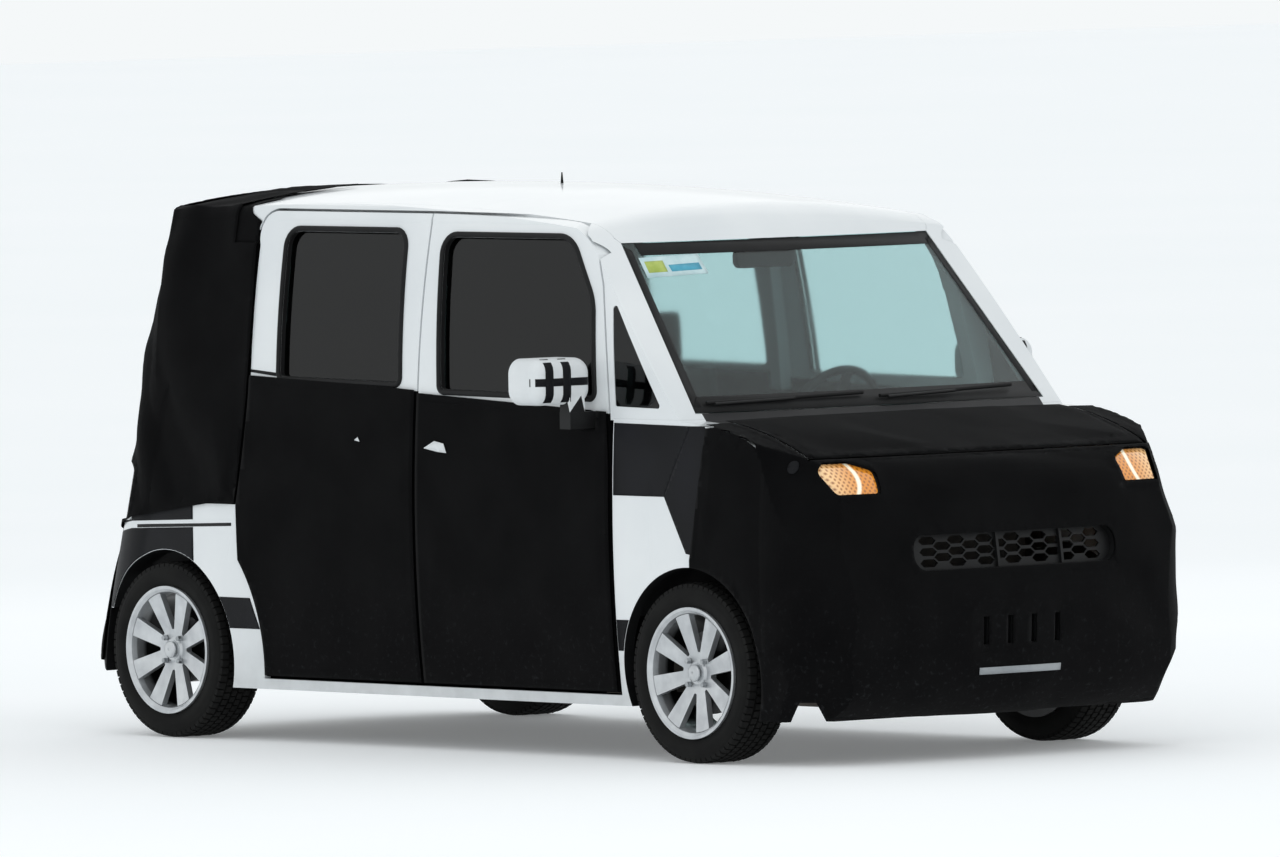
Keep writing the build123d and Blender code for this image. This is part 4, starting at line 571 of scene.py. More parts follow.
def netted(bm, step):
    """Cuts a mesh into squares along all three axes."""
    for axis in range(3):
        values = [v.co[axis] for v in bm.verts]
        low, high = min(values), max(values)
        for i in range(1, int((high - low) / step) + 1):
            cut, normal = Vector(), Vector()
            cut[axis], normal[axis] = low + i * step, 1
            across = [f for f in bm.faces if abs(f.normal[axis]) < NEARLY_FLAT
                      and min(v.co[axis] for v in f.verts) < cut[axis] < max(v.co[axis] for v in f.verts)]
            parts = set(across)
            for f in across:
                parts.update(f.edges, f.verts)
            bmesh.ops.bisect_plane(bm, geom=list(parts), dist=KNIFE, plane_co=cut, plane_no=normal)
    bmesh.ops.triangulate(bm, faces=[f for f in bm.faces if len(f.verts) > 4])


print("cloth is cut into squares of", NET * 1000, "mm")

# %% [markdown]
# ## Folding the cloth covers
# Stretched cloth has long soft folds where it is pulled, and short ones where it is tucked in. They die out towards
# the edges, where a doubled hem and its sewn line hold the cloth down. A cloth simulation would need pins at every
# hem and would sag between them, so the folds are worked out from noise and kept under the cover's clearance.

# %% Cloth covers
# cover: body that carries it, depth of its folds, how fast the long folds follow each other along X, Y and Z
COVERS = {
    "nose_cover": ("body", 0.009, (6, 7, 9)), "rear_cover": ("body", 0.010, (17, 19, 2)),
    "bonnet_cover": ("bonnet", 0.010, (9, 4, 5)), "tailgate_cover": ("tailgate", 0.009, (19, 5, 3)),
    "front_door_left_cover": ("front_door_left", 0.0035, (3, 5, 12)),
    "front_door_right_cover": ("front_door_right", 0.0035, (3, 5, 12)),
    "rear_door_left_cover": ("rear_door_left", 0.0035, (3, 6, 12)),
    "rear_door_right_cover": ("body", 0.0035, (3, 6, 12)),
}
HEM, HEM_RISE = 0.02, 0.0016
SEAM_HALF, SEAM_DIP = 0.004, 0.0012
CALM_EDGE = 0.05
CLOTH_LIFT, CLOTH_THICK = 0.001, 0.0015


def wrinkle(p, seed, rate):
    """Height of the folds at a point, from about -0.4 to 1."""
    q = p + Vector((seed * 3.7, seed * 1.9, seed * 2.3))
    bend = noise.noise(q * 1.1) * 1.6
    long_fold = math.sin(p.dot(rate) + bend * 6) * (0.4 + noise.noise(q * 0.9 + Vector((9, 0, 0))))
    short_fold = noise.noise(Vector((q.x * 5, q.y * 5, q.z * 9))) * 0.5
    crease = 1 - abs(noise.noise(q * 2.3 + Vector((0, 7, 0)))) * 4
    return max(-0.4, long_fold * 1.1 + short_fold + max(0, crease) * 0.6)


def clothed(name, body, seed, amount, rate):
    """A folded and hemmed cloth in place of a cover's solid."""
    bm = outer_layer(name)
    if "door" in name:
        top, rise = CLOTH_TOP[name.split("_")[0]]
        bmesh.ops.bisect_plane(bm, geom=bm.verts[:] + bm.edges[:] + bm.faces[:], plane_co=(0, 0, top),
                               plane_no=(0, -rise, 1), clear_outer=True)
    netted(bm, NET)
    bm.normal_update()
    edge = [v for v in bm.verts if any(e.is_boundary for e in v.link_edges)]
    near = KDTree(len(edge))
    for i, v in enumerate(edge):
        near.insert(v.co, i)
    near.balance()
    moved = []
    for v in bm.verts:
        gap = near.find(v.co)[2]
        free = min(1, gap / CALM_EDGE)
        hem = HEM_RISE if gap < HEM else 0.0
        seam = -SEAM_DIP if abs(gap - HEM) < SEAM_HALF else 0.0
        moved.append(v.co + v.normal * (wrinkle(v.co, seed, rate) * amount * free + hem + seam + CLOTH_LIFT))
    for v, spot in zip(bm.verts, moved):
        v.co = spot
    area = sum(f.calc_area() for f in bm.faces)
    made = from_bmesh(name.replace("cover", "cloth"), bm)
    solid = made.modifiers.new("thickness", "SOLIDIFY")
    solid.thickness, solid.offset = CLOTH_THICK, 0
    baked(made)
    finish_piece(made, body, disguise)
    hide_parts(name)
    print(made.name, "area", round(area, 2), "faces", len(made.data.polygons))
    return made


cloths = {}
for seed, (name, (body, amount, rate)) in enumerate(COVERS.items()):
    cloths[name] = clothed(name, body, seed, amount, Vector(rate))

# %% [markdown]
# ## Seats
# On the real car foam is wrapped in woven fabric, so a seat bulges between its seams. Here each solid seat is
# remeshed, drawn in a little and blown up as cloth under pressure, with every point held near where it began.

# %% Padded seats
PADS = {"front_seats": "front_seat_pads", "rear_seat": "rear_seat_pads"}
VOXEL = 0.016
DRAWN_IN = 0.006
BULGE = 0.014
PRESSURE = 4.0
BLOWN_FRAMES = 12


def fresh(name):
    """A solid's mesh with its loose triangles joined."""
    bm = bmesh.new()
    bm.from_mesh(nodes[name].data)
    bmesh.ops.remove_doubles(bm, verts=bm.verts, dist=MERGE)
    return bm


def stuffed(solid, name):
    """A seat blown up from its solid, and rounded."""
    made = from_bmesh(name, fresh(solid))
    remesh = made.modifiers.new("remesh", "REMESH")
    remesh.mode, remesh.voxel_size = "VOXEL", VOXEL
    baked(made)
    start = []
    for v in made.data.vertices:
        v.co = v.co - v.normal * DRAWN_IN
        start.append(v.co.copy())
    cloth = made.modifiers.new("cloth", "CLOTH")
    cloth.settings.quality = 4
    cloth.settings.use_pressure = True
    cloth.settings.uniform_pressure_force = PRESSURE
    cloth.settings.effector_weights.gravity = 0
    cloth.collision_settings.use_collision = False
    for step in range(1, BLOWN_FRAMES + 1):
        bpy.context.scene.frame_set(step)
    baked(made)
    bpy.context.scene.frame_set(1)
    for v, was in zip(made.data.vertices, start):
        way = v.co - was
        if way.length > BULGE:
            v.co = was + way * (BULGE / way.length)
    rounding = made.modifiers.new("smooth", "SUBSURF")
    rounding.levels = rounding.render_levels = 1
    baked(made)
    finish_piece(made, "body", seat_fabric)
    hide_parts(solid)
    print(made.name, "faces", len(made.data.polygons))


for solid, name in PADS.items():
    stuffed(solid, name)

# %% [markdown]
# ## Tread
# The tread is a row of rubber blocks, repeated round the tyre by a small node tree: the row is the input, a circle
# gives the places, and the copies are made real and given the rubber. Grooves cut into a ring would give the same
# look with far more faces.

# %% Tread
TREAD_DEPTH = 0.0065
TREAD_ROWS = 70
# block: middle across the tread, width, how far round it is shifted, length round the tyre
BLOCKS = [(-0.0695, 0.024, 0.0, 0.0215), (-0.040, 0.0235, 0.5, 0.0212), (-0.0125, 0.021, 0.1, 0.0218),
          (0.0125, 0.021, 0.6, 0.0218), (0.040, 0.0235, 0.2, 0.0212), (0.0695, 0.024, 0.7, 0.0215)]
PITCH = 2 * math.pi * TYRE_RADIUS / TREAD_ROWS
CHAMFER = 0.0012
ROOT = 0.006
SHOULDER_AT, SHOULDER_OVER, SHOULDER_DROP = 0.062, 0.022, 0.006

bm = bmesh.new()
for middle, width, shift, length in BLOCKS:
    block = bmesh.ops.create_cube(bm, size=1)["verts"]
    for v in block:
        top = v.co.x > 0
        inset = CHAMFER if top else 0
        side = abs(middle + v.co.z * width)
        drop = SHOULDER_DROP * max(0, (side - SHOULDER_AT) / SHOULDER_OVER) ** 2
        v.co = Vector(((0 if top else -TREAD_DEPTH - ROOT) - drop,
                       v.co.y * (length - 2 * inset) + shift * PITCH, middle + v.co.z * (width - 2 * inset)))
row = from_bmesh("tread_row", bm)

tread = bpy.data.node_groups.new("tread", "GeometryNodeTree")
tread.interface.new_socket("Row", in_out="INPUT", socket_type="NodeSocketGeometry")
count_socket = tread.interface.new_socket("Count", in_out="INPUT", socket_type="NodeSocketInt")
radius_socket = tread.interface.new_socket("Radius", in_out="INPUT", socket_type="NodeSocketFloat")
tread.interface.new_socket("Blocks", in_out="OUTPUT", socket_type="NodeSocketGeometry")
given = add(tread, "NodeGroupInput").outputs
circle = add(tread, "GeometryNodeMeshCircle", {"Vertices": given["Count"], "Radius": given["Radius"]}).outputs["Mesh"]
spot = add(tread, "GeometryNodeInputPosition").outputs["Position"]
turn = add(tread, "FunctionNodeAlignRotationToVector", {"Vector": spot}, axis="X").outputs["Rotation"]
copies = add(tread, "GeometryNodeInstanceOnPoints", {"Points": circle, "Instance": given["Row"], "Rotation": turn})
real = add(tread, "GeometryNodeRealizeInstances", {"Geometry": copies.outputs["Instances"]}).outputs["Geometry"]
dressed = add(tread, "GeometryNodeSetMaterial", {"Geometry": real, "Material": tyre_rubber}).outputs["Geometry"]
add(tread, "NodeGroupOutput", {"Blocks": dressed})
around = row.modifiers.new("tread", "NODES")
around.node_group = tread
around[count_socket.identifier] = TREAD_ROWS
around[radius_socket.identifier] = TYRE_RADIUS
baked(row)
row.data.transform(Matrix.Rotation(math.radians(90), 4, "Y"))
print("tread faces", len(row.data.polygons))

# %% [markdown]
# ## Tyres
# A tyre is turned from one profile, from bead to bead: a low rim guard, a bulged wall and a square shoulder. The
# blocks stand on it, and both together take the place of the plain solid tyre.

# %% Tyres
HUB_X = 0.7
ROUND = 96
# half a profile: distance from the tyre's middle, radius
TYRE_PROFILE = [(0.078, 0.1902), (0.0785, 0.204), (0.0822, 0.209), (0.0866, 0.228), (0.0873, 0.238), (0.0858, 0.244),
                (0.0852, 0.2475), (0.0848, 0.252), (0.082, 0.259), (0.0765, 0.2655),
                (0.068, TYRE_RADIUS - TREAD_DEPTH)]


def turned(profile, count=ROUND):
    """Profile of (along the axle, radius) turned about X."""
    bm = bmesh.new()
    rings = []
    for i in range(count):
        angle = 2 * math.pi * i / count
        rings.append([bm.verts.new((x, r * math.cos(angle), r * math.sin(angle))) for x, r in profile])
    size = len(profile)
    for i in range(count):
        a, b = rings[i], rings[(i + 1) % count]
        for k in range(size):
            bm.faces.new((a[k], a[(k + 1) % size], b[(k + 1) % size], b[k]))
    bmesh.ops.recalc_face_normals(bm, faces=bm.faces)
    return bm


# wheel: the side it is on and its axle's place along the car
WHEELS = {(end, name): (side, axle_y) for end, axle_y in AXLES.items() for name, side in (("left", 1), ("right", -1))}
profile = TYRE_PROFILE + [(-x, r) for x, r in reversed(TYRE_PROFILE)]
for (end, name), (side, axle_y) in WHEELS.items():
    body = f"wheel_{end}_{name}"
    bm = turned(profile)
    bm.from_mesh(row.data)
    bmesh.ops.translate(bm, verts=bm.verts, vec=(side * HUB_X, axle_y, TYRE_RADIUS))
    tyre = finish_piece(from_bmesh(f"{body}_tyre", bm), body, tyre_rubber, smooth=False)
    tyre.data.polygons.foreach_set("use_smooth", [len(p.vertices) == 4 and i < ROUND * len(profile)
                                                  for i, p in enumerate(tyre.data.polygons)])
    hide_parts(f"tyre_{end}_{name}")
bpy.data.objects.remove(row)
print("tyres fitted:", len(WHEELS))

# %% [markdown]
# ## Wheel nuts and caps
# Each wheel is held by four nuts of plated steel round a plain turned cap. They sit just proud of the hub's face.

# %% Wheel nuts and caps
HUB_FACE = 0.761
NUTS, NUT_CIRCLE = 4, 0.050
NUT_ROOT, NUT_TIP, NUT_LENGTH, NUT_PROUD = 0.0095, 0.008, 0.014, 0.005
CAP_PROUD, CAP_ROUND = 0.0062, 32
# distance out from the hub's face, radius
CAP_PROFILE = [(0.0, 0.001), (0.0, 0.024), (0.004, 0.0265), (0.008, 0.0255), (0.0115, 0.02), (0.0135, 0.01),
               (0.014, 0.001)]
for (end, name), (side, axle_y) in WHEELS.items():
    bm = bmesh.new()
    for k in range(NUTS):
        angle = math.radians(45 + 360 / NUTS * k)
        made = bmesh.ops.create_cone(bm, segments=6, radius1=NUT_ROOT, radius2=NUT_TIP, depth=NUT_LENGTH,
                                     cap_ends=True)["verts"]
        bmesh.ops.rotate(bm, verts=made, matrix=Matrix.Rotation(math.radians(90) * side, 3, "Y"))
        bmesh.ops.translate(bm, verts=made, vec=(side * (HUB_FACE + NUT_PROUD), axle_y + NUT_CIRCLE * math.cos(angle),
                                                 TYRE_RADIUS + NUT_CIRCLE * math.sin(angle)))
    finish_piece(from_bmesh(f"nuts_{end}_{name}", bm), f"wheel_{end}_{name}", bright_steel, smooth=False)
    cap = turned(CAP_PROFILE, CAP_ROUND)
    for v in cap.verts:
        v.co = Vector((side * (HUB_FACE + CAP_PROUD + v.co.x), v.co.y + axle_y, v.co.z + TYRE_RADIUS))
    bmesh.ops.recalc_face_normals(cap, faces=cap.faces)
    finish_piece(from_bmesh(f"cap_{end}_{name}", cap), f"wheel_{end}_{name}", alloy)
print("nuts fitted:", NUTS * len(WHEELS))

# %% [markdown]
# ## Tape and bare paint
# Where the cloth stops, dark tape breaks up the white of the fender and the rear quarter, and follows the edge of
# each wheel arch. Both sides are taped alike.

# %% Tape on the sides
TAPE_LIFT, TAPE_THICK, TAPE_NET = 0.0005, 0.0006, 0.012
FRONT_ARCH, REAR_ARCH = 0.3235, 0.3175


def arch_run(end, radius, start, stop, count):
    """Points along the edge of a wheel arch, between two angles measured from the rear over the top."""
    angles = [math.radians(start + (stop - start) * i / count) for i in range(count + 1)]
    return [(AXLES[end] + radius * math.cos(a), TYRE_RADIUS + radius * math.sin(a)) for a in angles]


# outlines in Y and Z
FENDER_TAPES = {
    "fender_dark_top": [(-0.824, 0.811), (-1.06, 0.811), (-1.18, 1.028), (-0.824, 1.032)],
    "fender_dark_front": [(-1.06, 0.811), (-1.156, 0.64), (-1.28, 0.62), (-1.28, 1.03), (-1.18, 1.028)],
    "fender_dark_low": [(-0.822, 0.430), *arch_run("front", FRONT_ARCH, 28.5, 10.5, 6), (-0.822, 0.335)],
}
QUARTER_TAPES = {
    "quarter_dark_band": [(0.94, 0.450), *arch_run("rear", REAR_ARCH, 146.7, 166, 6), (0.90, 0.353)],
    "quarter_dark_rear": [(1.213, 0.666), *arch_run("rear", REAR_ARCH, 117, 12, 24), (1.70, 0.40), (1.70, 0.63),
                          (1.53, 0.655)],
    "quarter_dark_top": [(1.213, 0.74), (1.213, 0.690), (1.53, 0.678), (1.70, 0.655), (1.70, 0.72), (1.53, 0.735)],
}
fender = tree_of(["front_fenders"])
quarter = tree_of(["side_frame_right", "side_frame_left"])
for tapes, panel in ((FENDER_TAPES, fender), (QUARTER_TAPES, quarter)):
    for name, outline in tapes.items():
        for way in ("right", "left"):
            patch(f"{name}_{way}", way, outline, panel, TAPE_LIFT, TAPE_THICK, dark_tape, "body", TAPE_NET)
print("tapes on each side:", len(FENDER_TAPES) + len(QUARTER_TAPES))

# %% [markdown]
# ## Window seals
# Black rubber runs round every side window and lines the reveal between the paint and the glass. The window's
# outline is given by its corners, each with the radius that turns it. Moved outwards, the same outline is the path
# of the seal and the line between paint and rubber, so the two always meet.

# %% Window seals
# corners as Y, Z and radius
WINDOWS = {
    "front_door": [(0.003, 1.120, 0.014), (0.040, 1.588, 0.048), (-0.560, 1.588, 0.110), (-0.689, 1.400, 0.160),
                   (-0.721, 1.111, 0.014)],
    "rear_door": [(0.784, 1.147, 0.014), (0.798, 1.598, 0.048), (0.234, 1.598, 0.048), (0.209, 1.138, 0.014)],
}
SEAL_RADIUS, SEAL_STEP = 0.009, 0.02
REVEAL_OUT = 0.0015


def turned_corners(corners, outset, steps=7):
    """Outline through corners with their radii, moved outwards by an outset."""
    points = []
    for i, (a, b, radius) in enumerate(corners):
        corner = Vector((a, b))
        back = (Vector(corners[i - 1][:2]) - corner).normalized()
        onward = (Vector(corners[(i + 1) % len(corners)][:2]) - corner).normalized()
        half = math.acos(max(-1, min(1, back.dot(onward)))) / 2
        middle = (back + onward).normalized()
        centre = corner + middle * (radius / math.sin(half))
        first = corner + back * (radius / math.tan(half)) - centre
        last = corner + onward * (radius / math.tan(half)) - centre
        for k in range(steps + 1):
            way = (first * (1 - k / steps) + last * (k / steps)).normalized()
            points.append(tuple(centre + way * (radius + outset)))
    return points


def inside(a, b, outline):
    """True if a point lies inside a closed outline."""
    crossed = False
    for (a0, b0), (a1, b1) in zip(outline, outline[1:] + outline[:1]):
        if (b0 > b) != (b1 > b) and a < a0 + (b - b0) * (a1 - a0) / (b1 - b0):
            crossed = not crossed
    return crossed


def carrier(door):
    """The body that a door moves with: the sliding door stays shut here."""
    return "body" if door == "rear_door_right" else door


for kind, corners in WINDOWS.items():
    reveal = turned_corners(corners, REVEAL_OUT)
    run = spaced(turned_corners(corners, SEAL_RADIUS), SEAL_STEP)
    for side in ("right", "left"):
        door = f"{kind}_{side}"
        shell = nodes[door].data
        shell.materials.append(seal_rubber)
        for face in shell.polygons:
            face.material_index = int(inside(face.center.y, face.center.z, reveal))
        metal = tree_of([door])
        points = [laid(side, a, b, metal, 0.0) for a, b in run]
        tube(f"seal_{door}", [p for p in points if p], SEAL_RADIUS, seal_rubber, carrier(door), closed=True)
print("windows sealed:", 2 * len(WINDOWS))

# %% [markdown]
# ## The windscreen's border
# A black band is printed along all four edges of the windscreen and hides the glue behind it. It is widest at the
# top and at the foot.

# %% Windscreen border
BORDER_LIFT, BORDER_THICK, BORDER_NET = 0.0002, 0.0004, 0.05
# outlines in X and Z
BORDERS = {
    "top": [(-0.62, 1.535), (0.62, 1.535), (0.627, 1.572), (-0.627, 1.572)],
    "low": [(-0.708, 1.064), (0.708, 1.064), (0.70, 1.112), (-0.70, 1.112)],
    "right": [(-0.706, 1.08), (-0.676, 1.08), (-0.60, 1.55), (-0.622, 1.565)],
    "left": [(0.676, 1.08), (0.706, 1.08), (0.622, 1.565), (0.60, 1.55)],
}
screen = tree_of(["windscreen"])
for name, outline in BORDERS.items():
    patch(f"screen_border_{name}", "front", outline, screen, BORDER_LIFT, BORDER_THICK, black_plastic, "body",
          BORDER_NET)
print("border laid in", len(BORDERS), "parts")

# %% [markdown]
# ## Lamps
# A headlamp is ribbed amber glass over a reflector, lit from behind. Two sets of ribs cross in a fine diamond pattern,
# and a curved strip of painted highlight is bright where the inner bezel catches the light. The ribs are about 13 mm
# apart.

# %% Lit lamp glass
LAMP_Z = 0.875
RIBS = 24
# the painted highlight, a bright strip: place from the car's middle, how fast it curves, half widths of its edge and
# its core
STRIP_X, STRIP_CURVE, STRIP_EDGE, STRIP_CORE = 0.556, 6.0, 0.011, 0.004
AMBER_IN, AMBER_OUT = 0.56, 0.68

lit_amber, tree, shader = material("lit_amber", Roughness=0.08, Coat_Weight=1.0, Coat_Roughness=0.03,
                                   Emission_Strength=0.35)
where = add(tree, "ShaderNodeTexCoord").outputs["Object"]
parts = add(tree, "ShaderNodeSeparateXYZ", {"Vector": where}).outputs
across = add(tree, "ShaderNodeMath", {0: parts["X"]}, operation="ABSOLUTE").outputs["Value"]
slanted = add(tree, "ShaderNodeMapping", {"Vector": where, "Rotation": (0, math.radians(45), 0)}).outputs["Vector"]
waves = {"Vector": slanted, "Scale": RIBS, "Distortion": 0.6}
ribs_a = add(tree, "ShaderNodeTexWave", waves, bands_direction="X").outputs["Fac"]
ribs_b = add(tree, "ShaderNodeTexWave", waves, bands_direction="Z").outputs["Fac"]
hatch = add(tree, "ShaderNodeMath", {0: ribs_a, 1: ribs_b}, operation="MULTIPLY").outputs["Value"]
rise = add(tree, "ShaderNodeMath", {0: parts["Z"], 1: -LAMP_Z}, operation="ADD").outputs["Value"]
squared = add(tree, "ShaderNodeMath", {0: rise, 1: rise}, operation="MULTIPLY").outputs["Value"]
curved = add(tree, "ShaderNodeMath", {0: squared, 1: STRIP_CURVE}, operation="MULTIPLY").outputs["Value"]
highlight_at = add(tree, "ShaderNodeMath", {0: curved, 1: STRIP_X}, operation="ADD").outputs["Value"]
off = add(tree, "ShaderNodeMath", {0: across, 1: highlight_at}, operation="SUBTRACT").outputs["Value"]
away = add(tree, "ShaderNodeMath", {0: off}, operation="ABSOLUTE").outputs["Value"]
painted_highlight = add(tree, "ShaderNodeMapRange", {"Value": away, "From Min": STRIP_EDGE, "From Max": STRIP_CORE})
inner = add(tree, "ShaderNodeMapRange", {"Value": across, "From Min": AMBER_IN, "From Max": AMBER_OUT})
base = add(tree, "ShaderNodeMix", {"Factor": inner.outputs["Result"], 6: colour("d98a2c"), 7: colour("f3cf9a")},
           data_type="RGBA").outputs[2]
ribbed = add(tree, "ShaderNodeMix", {"Factor": hatch, 6: base, 7: colour("8a4f18")}, data_type="RGBA").outputs[2]
# painted highlight: a near-white strip where the inner bezel catches the light, glowing with the lamp
shown = add(tree, "ShaderNodeMix", {"Factor": painted_highlight.outputs["Result"], 6: ribbed, 7: colour("fff6dc")},
            data_type="RGBA").outputs[2]
tree.links.new(shown, shader.inputs["Base Color"])
tree.links.new(shown, shader.inputs["Emission Color"])
bump = add(tree, "ShaderNodeBump", {"Height": hatch, "Strength": 0.4, "Distance": 0.001}).outputs["Normal"]
tree.links.new(bump, shader.inputs["Normal"])
nodes["headlamps"].data.materials[0] = lit_amber
print("lamp glass lit")

# %% [markdown]
# ## Wipers
# Two wipers rest along the foot of the windscreen. Each is a rubber blade with a thinner arm over its inner half,
# both cords that are laid on the glass and lifted off it.

# %% Wipers
# wiper: where its blade begins and ends across the screen
WIPERS = {"right": (-0.66, -0.06), "left": (0.0, 0.58)}
BLADE_Z, BLADE_RISE, BLADE_LIFT, BLADE_RADIUS, BLADE_STEPS = 1.085, 0.012, 0.012, 0.006, 12
ARM_Z, ARM_RISE, ARM_LIFT, ARM_RADIUS, ARM_STEPS = 1.075, 0.008, 0.022, 0.005, 8
ARM_IN, ARM_SHARE = 0.02, 0.5
for name, (low, high) in WIPERS.items():
    blade = [laid("front", low + (high - low) * k / BLADE_STEPS, BLADE_Z + BLADE_RISE * k / BLADE_STEPS, screen,
                  BLADE_LIFT) for k in range(BLADE_STEPS + 1)]
    tube(f"wiper_blade_{name}", [p for p in blade if p], BLADE_RADIUS, seal_rubber, "body")
    arm = [laid("front", low + (high - low) * ARM_SHARE * k / ARM_STEPS + ARM_IN, ARM_Z + ARM_RISE * k / ARM_STEPS,
                screen, ARM_LIFT) for k in range(ARM_STEPS + 1)]
    tube(f"wiper_arm_{name}", [p for p in arm if p], ARM_RADIUS, black_plastic, "body")
print("wipers:", ", ".join(WIPERS))

# %% [markdown]
# ## Openings, slot and sticker
# White patches of paint show where the cloth is cut round the door handles. The sliding door's rail shows as a dark
# slot in the quarter, and a sticker in three plain colours sits at the top of the windscreen.

# %% Openings, slot and sticker
OPENING_LIFT, OPENING_THICK, OPENING_NET = 0.0045, 0.0008, 0.02
# outlines in Y and Z
HANDLES = {
    "front_door": [(0.067, 0.937), (0.016, 0.960), (-0.028, 0.953), (-0.043, 0.924), (0.001, 0.927)],
    "rear_door": [(0.402, 0.955), (0.386, 0.965), (0.376, 0.951)],
}
for kind, outline in HANDLES.items():
    for side in ("right", "left"):
        door = f"{kind}_{side}"
        patch(f"handle_opening_{door}", side, outline, tree_of([f"{door}_cover"]), OPENING_LIFT, OPENING_THICK,
              white_tape, carrier(door), OPENING_NET)
RAIL_SLOT = [(1.02, 0.684), (1.50, 0.668), (1.50, 0.658), (1.02, 0.674)]
SLOT_LIFT = 0.0002
for way in ("right", "left"):
    patch(f"rail_slot_{way}", way, RAIL_SLOT, quarter, SLOT_LIFT, TAPE_THICK, black_plastic, "body")

# part of the sticker: its ink, lift off the glass, the ink's two tones, outline in X and Z
STICKER_THICK = 0.0003
STICKER = {
    "sticker": ("sticker_white", 0.0004, "bcd9dd", "d2e8ea",
                [(-0.60, 1.468), (-0.37, 1.475), (-0.37, 1.535), (-0.592, 1.528)]),
    "sticker_left_part": ("sticker_lime", 0.0009, "a9bd55", "bccc6b",
                          [(-0.585, 1.482), (-0.515, 1.484), (-0.512, 1.518), (-0.580, 1.516)]),
    "sticker_right_part": ("sticker_blue", 0.0009, "3f9fbd", "59b3cb",
                           [(-0.50, 1.484), (-0.385, 1.488), (-0.385, 1.508), (-0.50, 1.504)]),
}
for name, (ink_name, lift, low, high, outline) in STICKER.items():
    ink, tree, shader = material(ink_name, Roughness=0.4)
    where, tone = mottled(tree, low, high, 30)
    tree.links.new(tone, shader.inputs["Base Color"])
    patch(name, "front", outline, screen, lift, STICKER_THICK, ink, "body")
print("openings, slot and sticker laid")

# %% [markdown]
# ## Mirrors
# The mirror shells are white with dark stripes of tape, two upright and one level, and each stands on a foot of
# black plastic.

# %% Mirrors
MIRROR_FOOT_Z = 1.088
STRIPES_X, STRIPE_WIDTH, STRIPE_Z, STRIPE_LIFT = (0.885, 0.955), 0.032, (1.05, 1.26), 0.0004
BAND_X, BAND_Z, BAND_LIFT = (0.79, 1.04), (1.148, 1.172), 0.0002
for name, side in (("right", -1), ("left", 1)):
    door = f"front_door_{name}"
    shell = tree_of([f"mirror_{name}"])
    mirror = nodes[f"mirror_{name}"].data
    mirror.materials.append(black_plastic)
    for face in mirror.polygons:
        middle_z = sum(mirror.vertices[v].co.z for v in face.vertices) / len(face.vertices)
        face.material_index = int(middle_z < MIRROR_FOOT_Z)
    for k, x in enumerate(STRIPES_X):
        outline = [(side * x, STRIPE_Z[0]), (side * (x + STRIPE_WIDTH), STRIPE_Z[0]),
                   (side * (x + STRIPE_WIDTH), STRIPE_Z[1]), (side * x, STRIPE_Z[1])]
        patch(f"mirror_stripe_{name}_{k}", "front", outline, shell, STRIPE_LIFT, TAPE_THICK, dark_tape, door, TAPE_NET)
    outline = [(side * BAND_X[0], BAND_Z[0]), (side * BAND_X[1], BAND_Z[0]),
               (side * BAND_X[1], BAND_Z[1]), (side * BAND_X[0], BAND_Z[1])]
    patch(f"mirror_band_{name}", "front", outline, shell, BAND_LIFT, TAPE_THICK, dark_tape, door, TAPE_NET)
print("mirrors taped")

# %% [markdown]
# ## Small pieces on the cloth and the roof
# A grey bar lies across the low front of the nose cloth, and an eyelet is punched near the lamp on either side. A
# corner of the roof pad's cloth laps over the quarter, a thin strip of rubber ends the rear window's sill, and a
# short antenna stands on the roof.

# %% Small pieces
nose = BVHTree.FromObject(cloths["nose_cover"], bpy.context.evaluated_depsgraph_get())
BAR = [(-0.177, 0.262), (0.162, 0.262), (0.162, 0.283), (-0.177, 0.283)]
patch("towing_bar", "front", BAR, nose, lift=0.001, thick=0.002, surface=grey_tape, body="body", step=0.02)
EYELET_Y, EYELET_Z, EYELET_LONG, EYELET_HIGH, EYELET_POINTS = -1.582, 0.909, 0.014, 0.020, 16
eyelet = [(EYELET_Y + EYELET_LONG * math.cos(2 * math.pi * t / EYELET_POINTS),
           EYELET_Z + EYELET_HIGH * math.sin(2 * math.pi * t / EYELET_POINTS)) for t in range(EYELET_POINTS)]
for way in ("right", "left"):
    patch(f"eyelet_{way}", way, eyelet, nose, lift=0.0008, thick=0.0012, surface=dark_tape, body="body", step=0.01)

CORNER = [(1.08, 1.690), (1.013, 1.692), (1.004, 1.669), (0.985, 1.650), (0.941, 1.629), (0.934, 1.556), (1.08, 1.556)]
quarter_top = tree_of(["side_frame_right", "side_frame_left", "roof_panel"])
for way in ("right", "left"):
    patch(f"cloth_corner_{way}", way, CORNER, quarter_top, lift=0.0025, thick=0.0012, surface=disguise, body="body",
          step=0.014)
WAIST = [(0.786, 1.156), (0.928, 1.166), (0.928, 1.157), (0.786, 1.145)]
waist = tree_of(["rear_door_right", "rear_door_left"])
for way in ("right", "left"):
    patch(f"waist_strip_{way}", way, WAIST, waist, lift=0.0004, thick=0.001, surface=seal_rubber,
          body=carrier(f"rear_door_{way}"))

ANTENNA_Y, ANTENNA_HEIGHT, ANTENNA_FOOT, ANTENNA_TIP, ANTENNA_SUNK = 0.324, 0.036, 0.005, 0.002, 0.002
bm = bmesh.new()
bmesh.ops.create_cone(bm, cap_ends=True, segments=16, radius1=ANTENNA_FOOT, radius2=ANTENNA_TIP, depth=ANTENNA_HEIGHT)
crown = laid("top", 0.0, ANTENNA_Y, tree_of(["roof_panel"]), 0.0)
bmesh.ops.translate(bm, verts=bm.verts, vec=crown + Vector((0, 0, ANTENNA_HEIGHT / 2 - ANTENNA_SUNK)))
finish_piece(from_bmesh("antenna", bm), "body", seal_rubber)
print("antenna on the roof at", round(crown.z, 3))

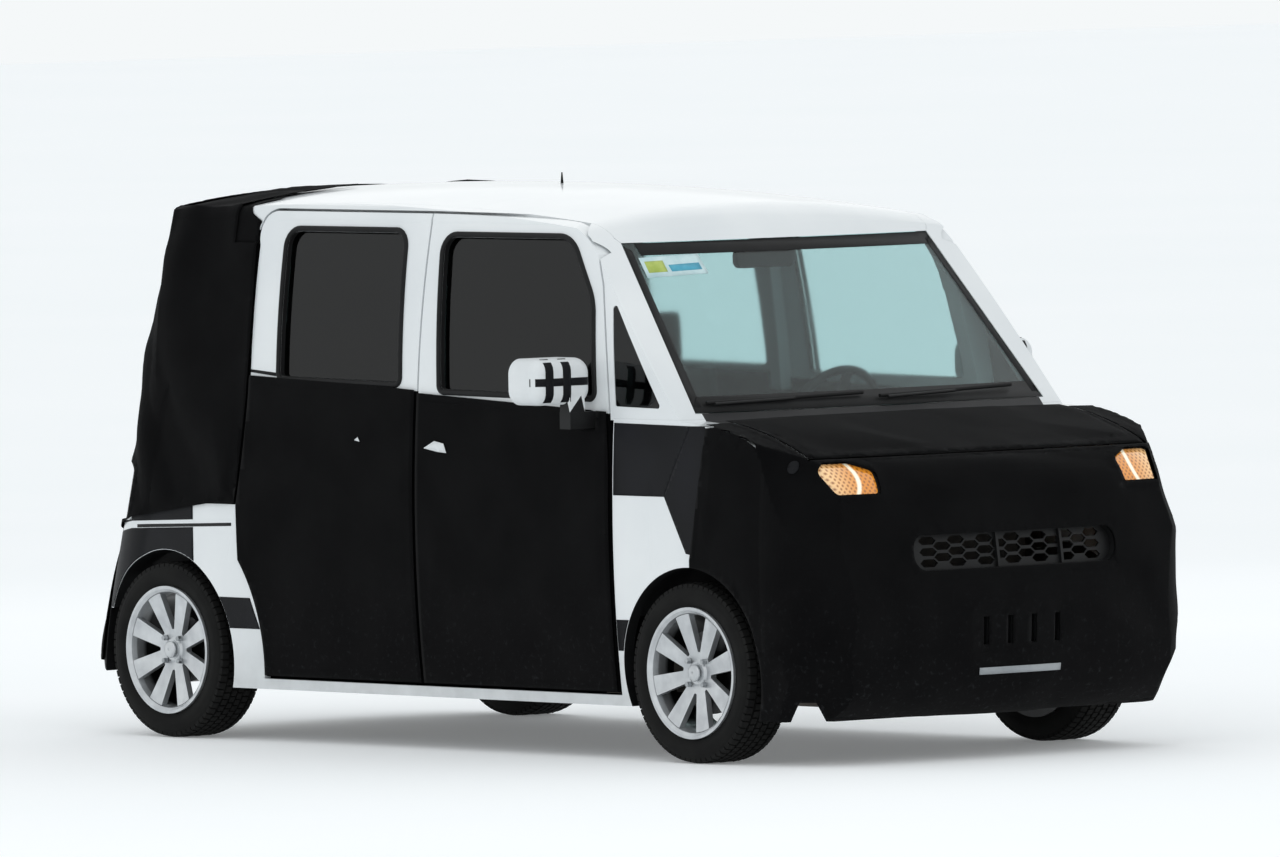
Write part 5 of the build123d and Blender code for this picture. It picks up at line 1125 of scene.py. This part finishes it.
# %% [markdown]
# ## Floor and light
# A pale floor and a big soft light overhead stand for an overcast day. The background is seen white, in glass and in
# gloss too, but it lights the object at a plain level: Light Path tells the two apart.

# %% Floor and light
SKY_STRENGTH, FLOOR_GLOW, FLOOR_HALF = 0.84, 0.17, 90
PANELS = {"sky_panel": ((-4, -5, 7), 8, 70), "rear_panel": ((6, 6, 6), 7, 40)}
LOOK_AT = Vector((0, 0, 0.8))

world = bpy.data.worlds.new("sky")
bpy.context.scene.world = world
world.use_nodes = True
tree = world.node_tree
tree.nodes.clear()
path = add(tree, "ShaderNodeLightPath").outputs
straight = add(tree, "ShaderNodeMath", {0: path["Is Camera Ray"], 1: path["Is Transmission Ray"]},
               operation="MAXIMUM").outputs["Value"]
seen = add(tree, "ShaderNodeMath", {0: straight, 1: path["Is Glossy Ray"]}, operation="MAXIMUM").outputs["Value"]
lit = add(tree, "ShaderNodeBackground", {"Color": colour("f4f8fa"), "Strength": SKY_STRENGTH}).outputs["Background"]
backdrop = add(tree, "ShaderNodeBackground", {"Color": colour("f5f8f9"), "Strength": 1.0}).outputs["Background"]
both = add(tree, "ShaderNodeMixShader", {"Fac": seen, 1: lit, 2: backdrop}).outputs["Shader"]
add(tree, "ShaderNodeOutputWorld", {"Surface": both})

floor_paint, tree, shader = material("floor", Roughness=0.9, Emission_Color=colour("f5f8f9"),
                                     Emission_Strength=FLOOR_GLOW)
where, tone = mottled(tree, "f7f9fa", "fafbfc", 0.4)
tree.links.new(tone, shader.inputs["Base Color"])
bm = bmesh.new()
bmesh.ops.create_grid(bm, x_segments=8, y_segments=8, size=FLOOR_HALF)
ground = from_bmesh("ground", bm)
ground.data.materials.append(floor_paint)

for name, (spot, size, power) in PANELS.items():
    light = bpy.data.lights.new(name, "AREA")
    light.size, light.energy = size, power
    lamp = bpy.data.objects.new(name, light)
    bpy.context.scene.collection.objects.link(lamp)
    lamp.location = spot
    lamp.rotation_euler = (LOOK_AT - Vector(spot)).to_track_quat("-Z", "Y").to_euler()
print("lights", len(bpy.data.lights))
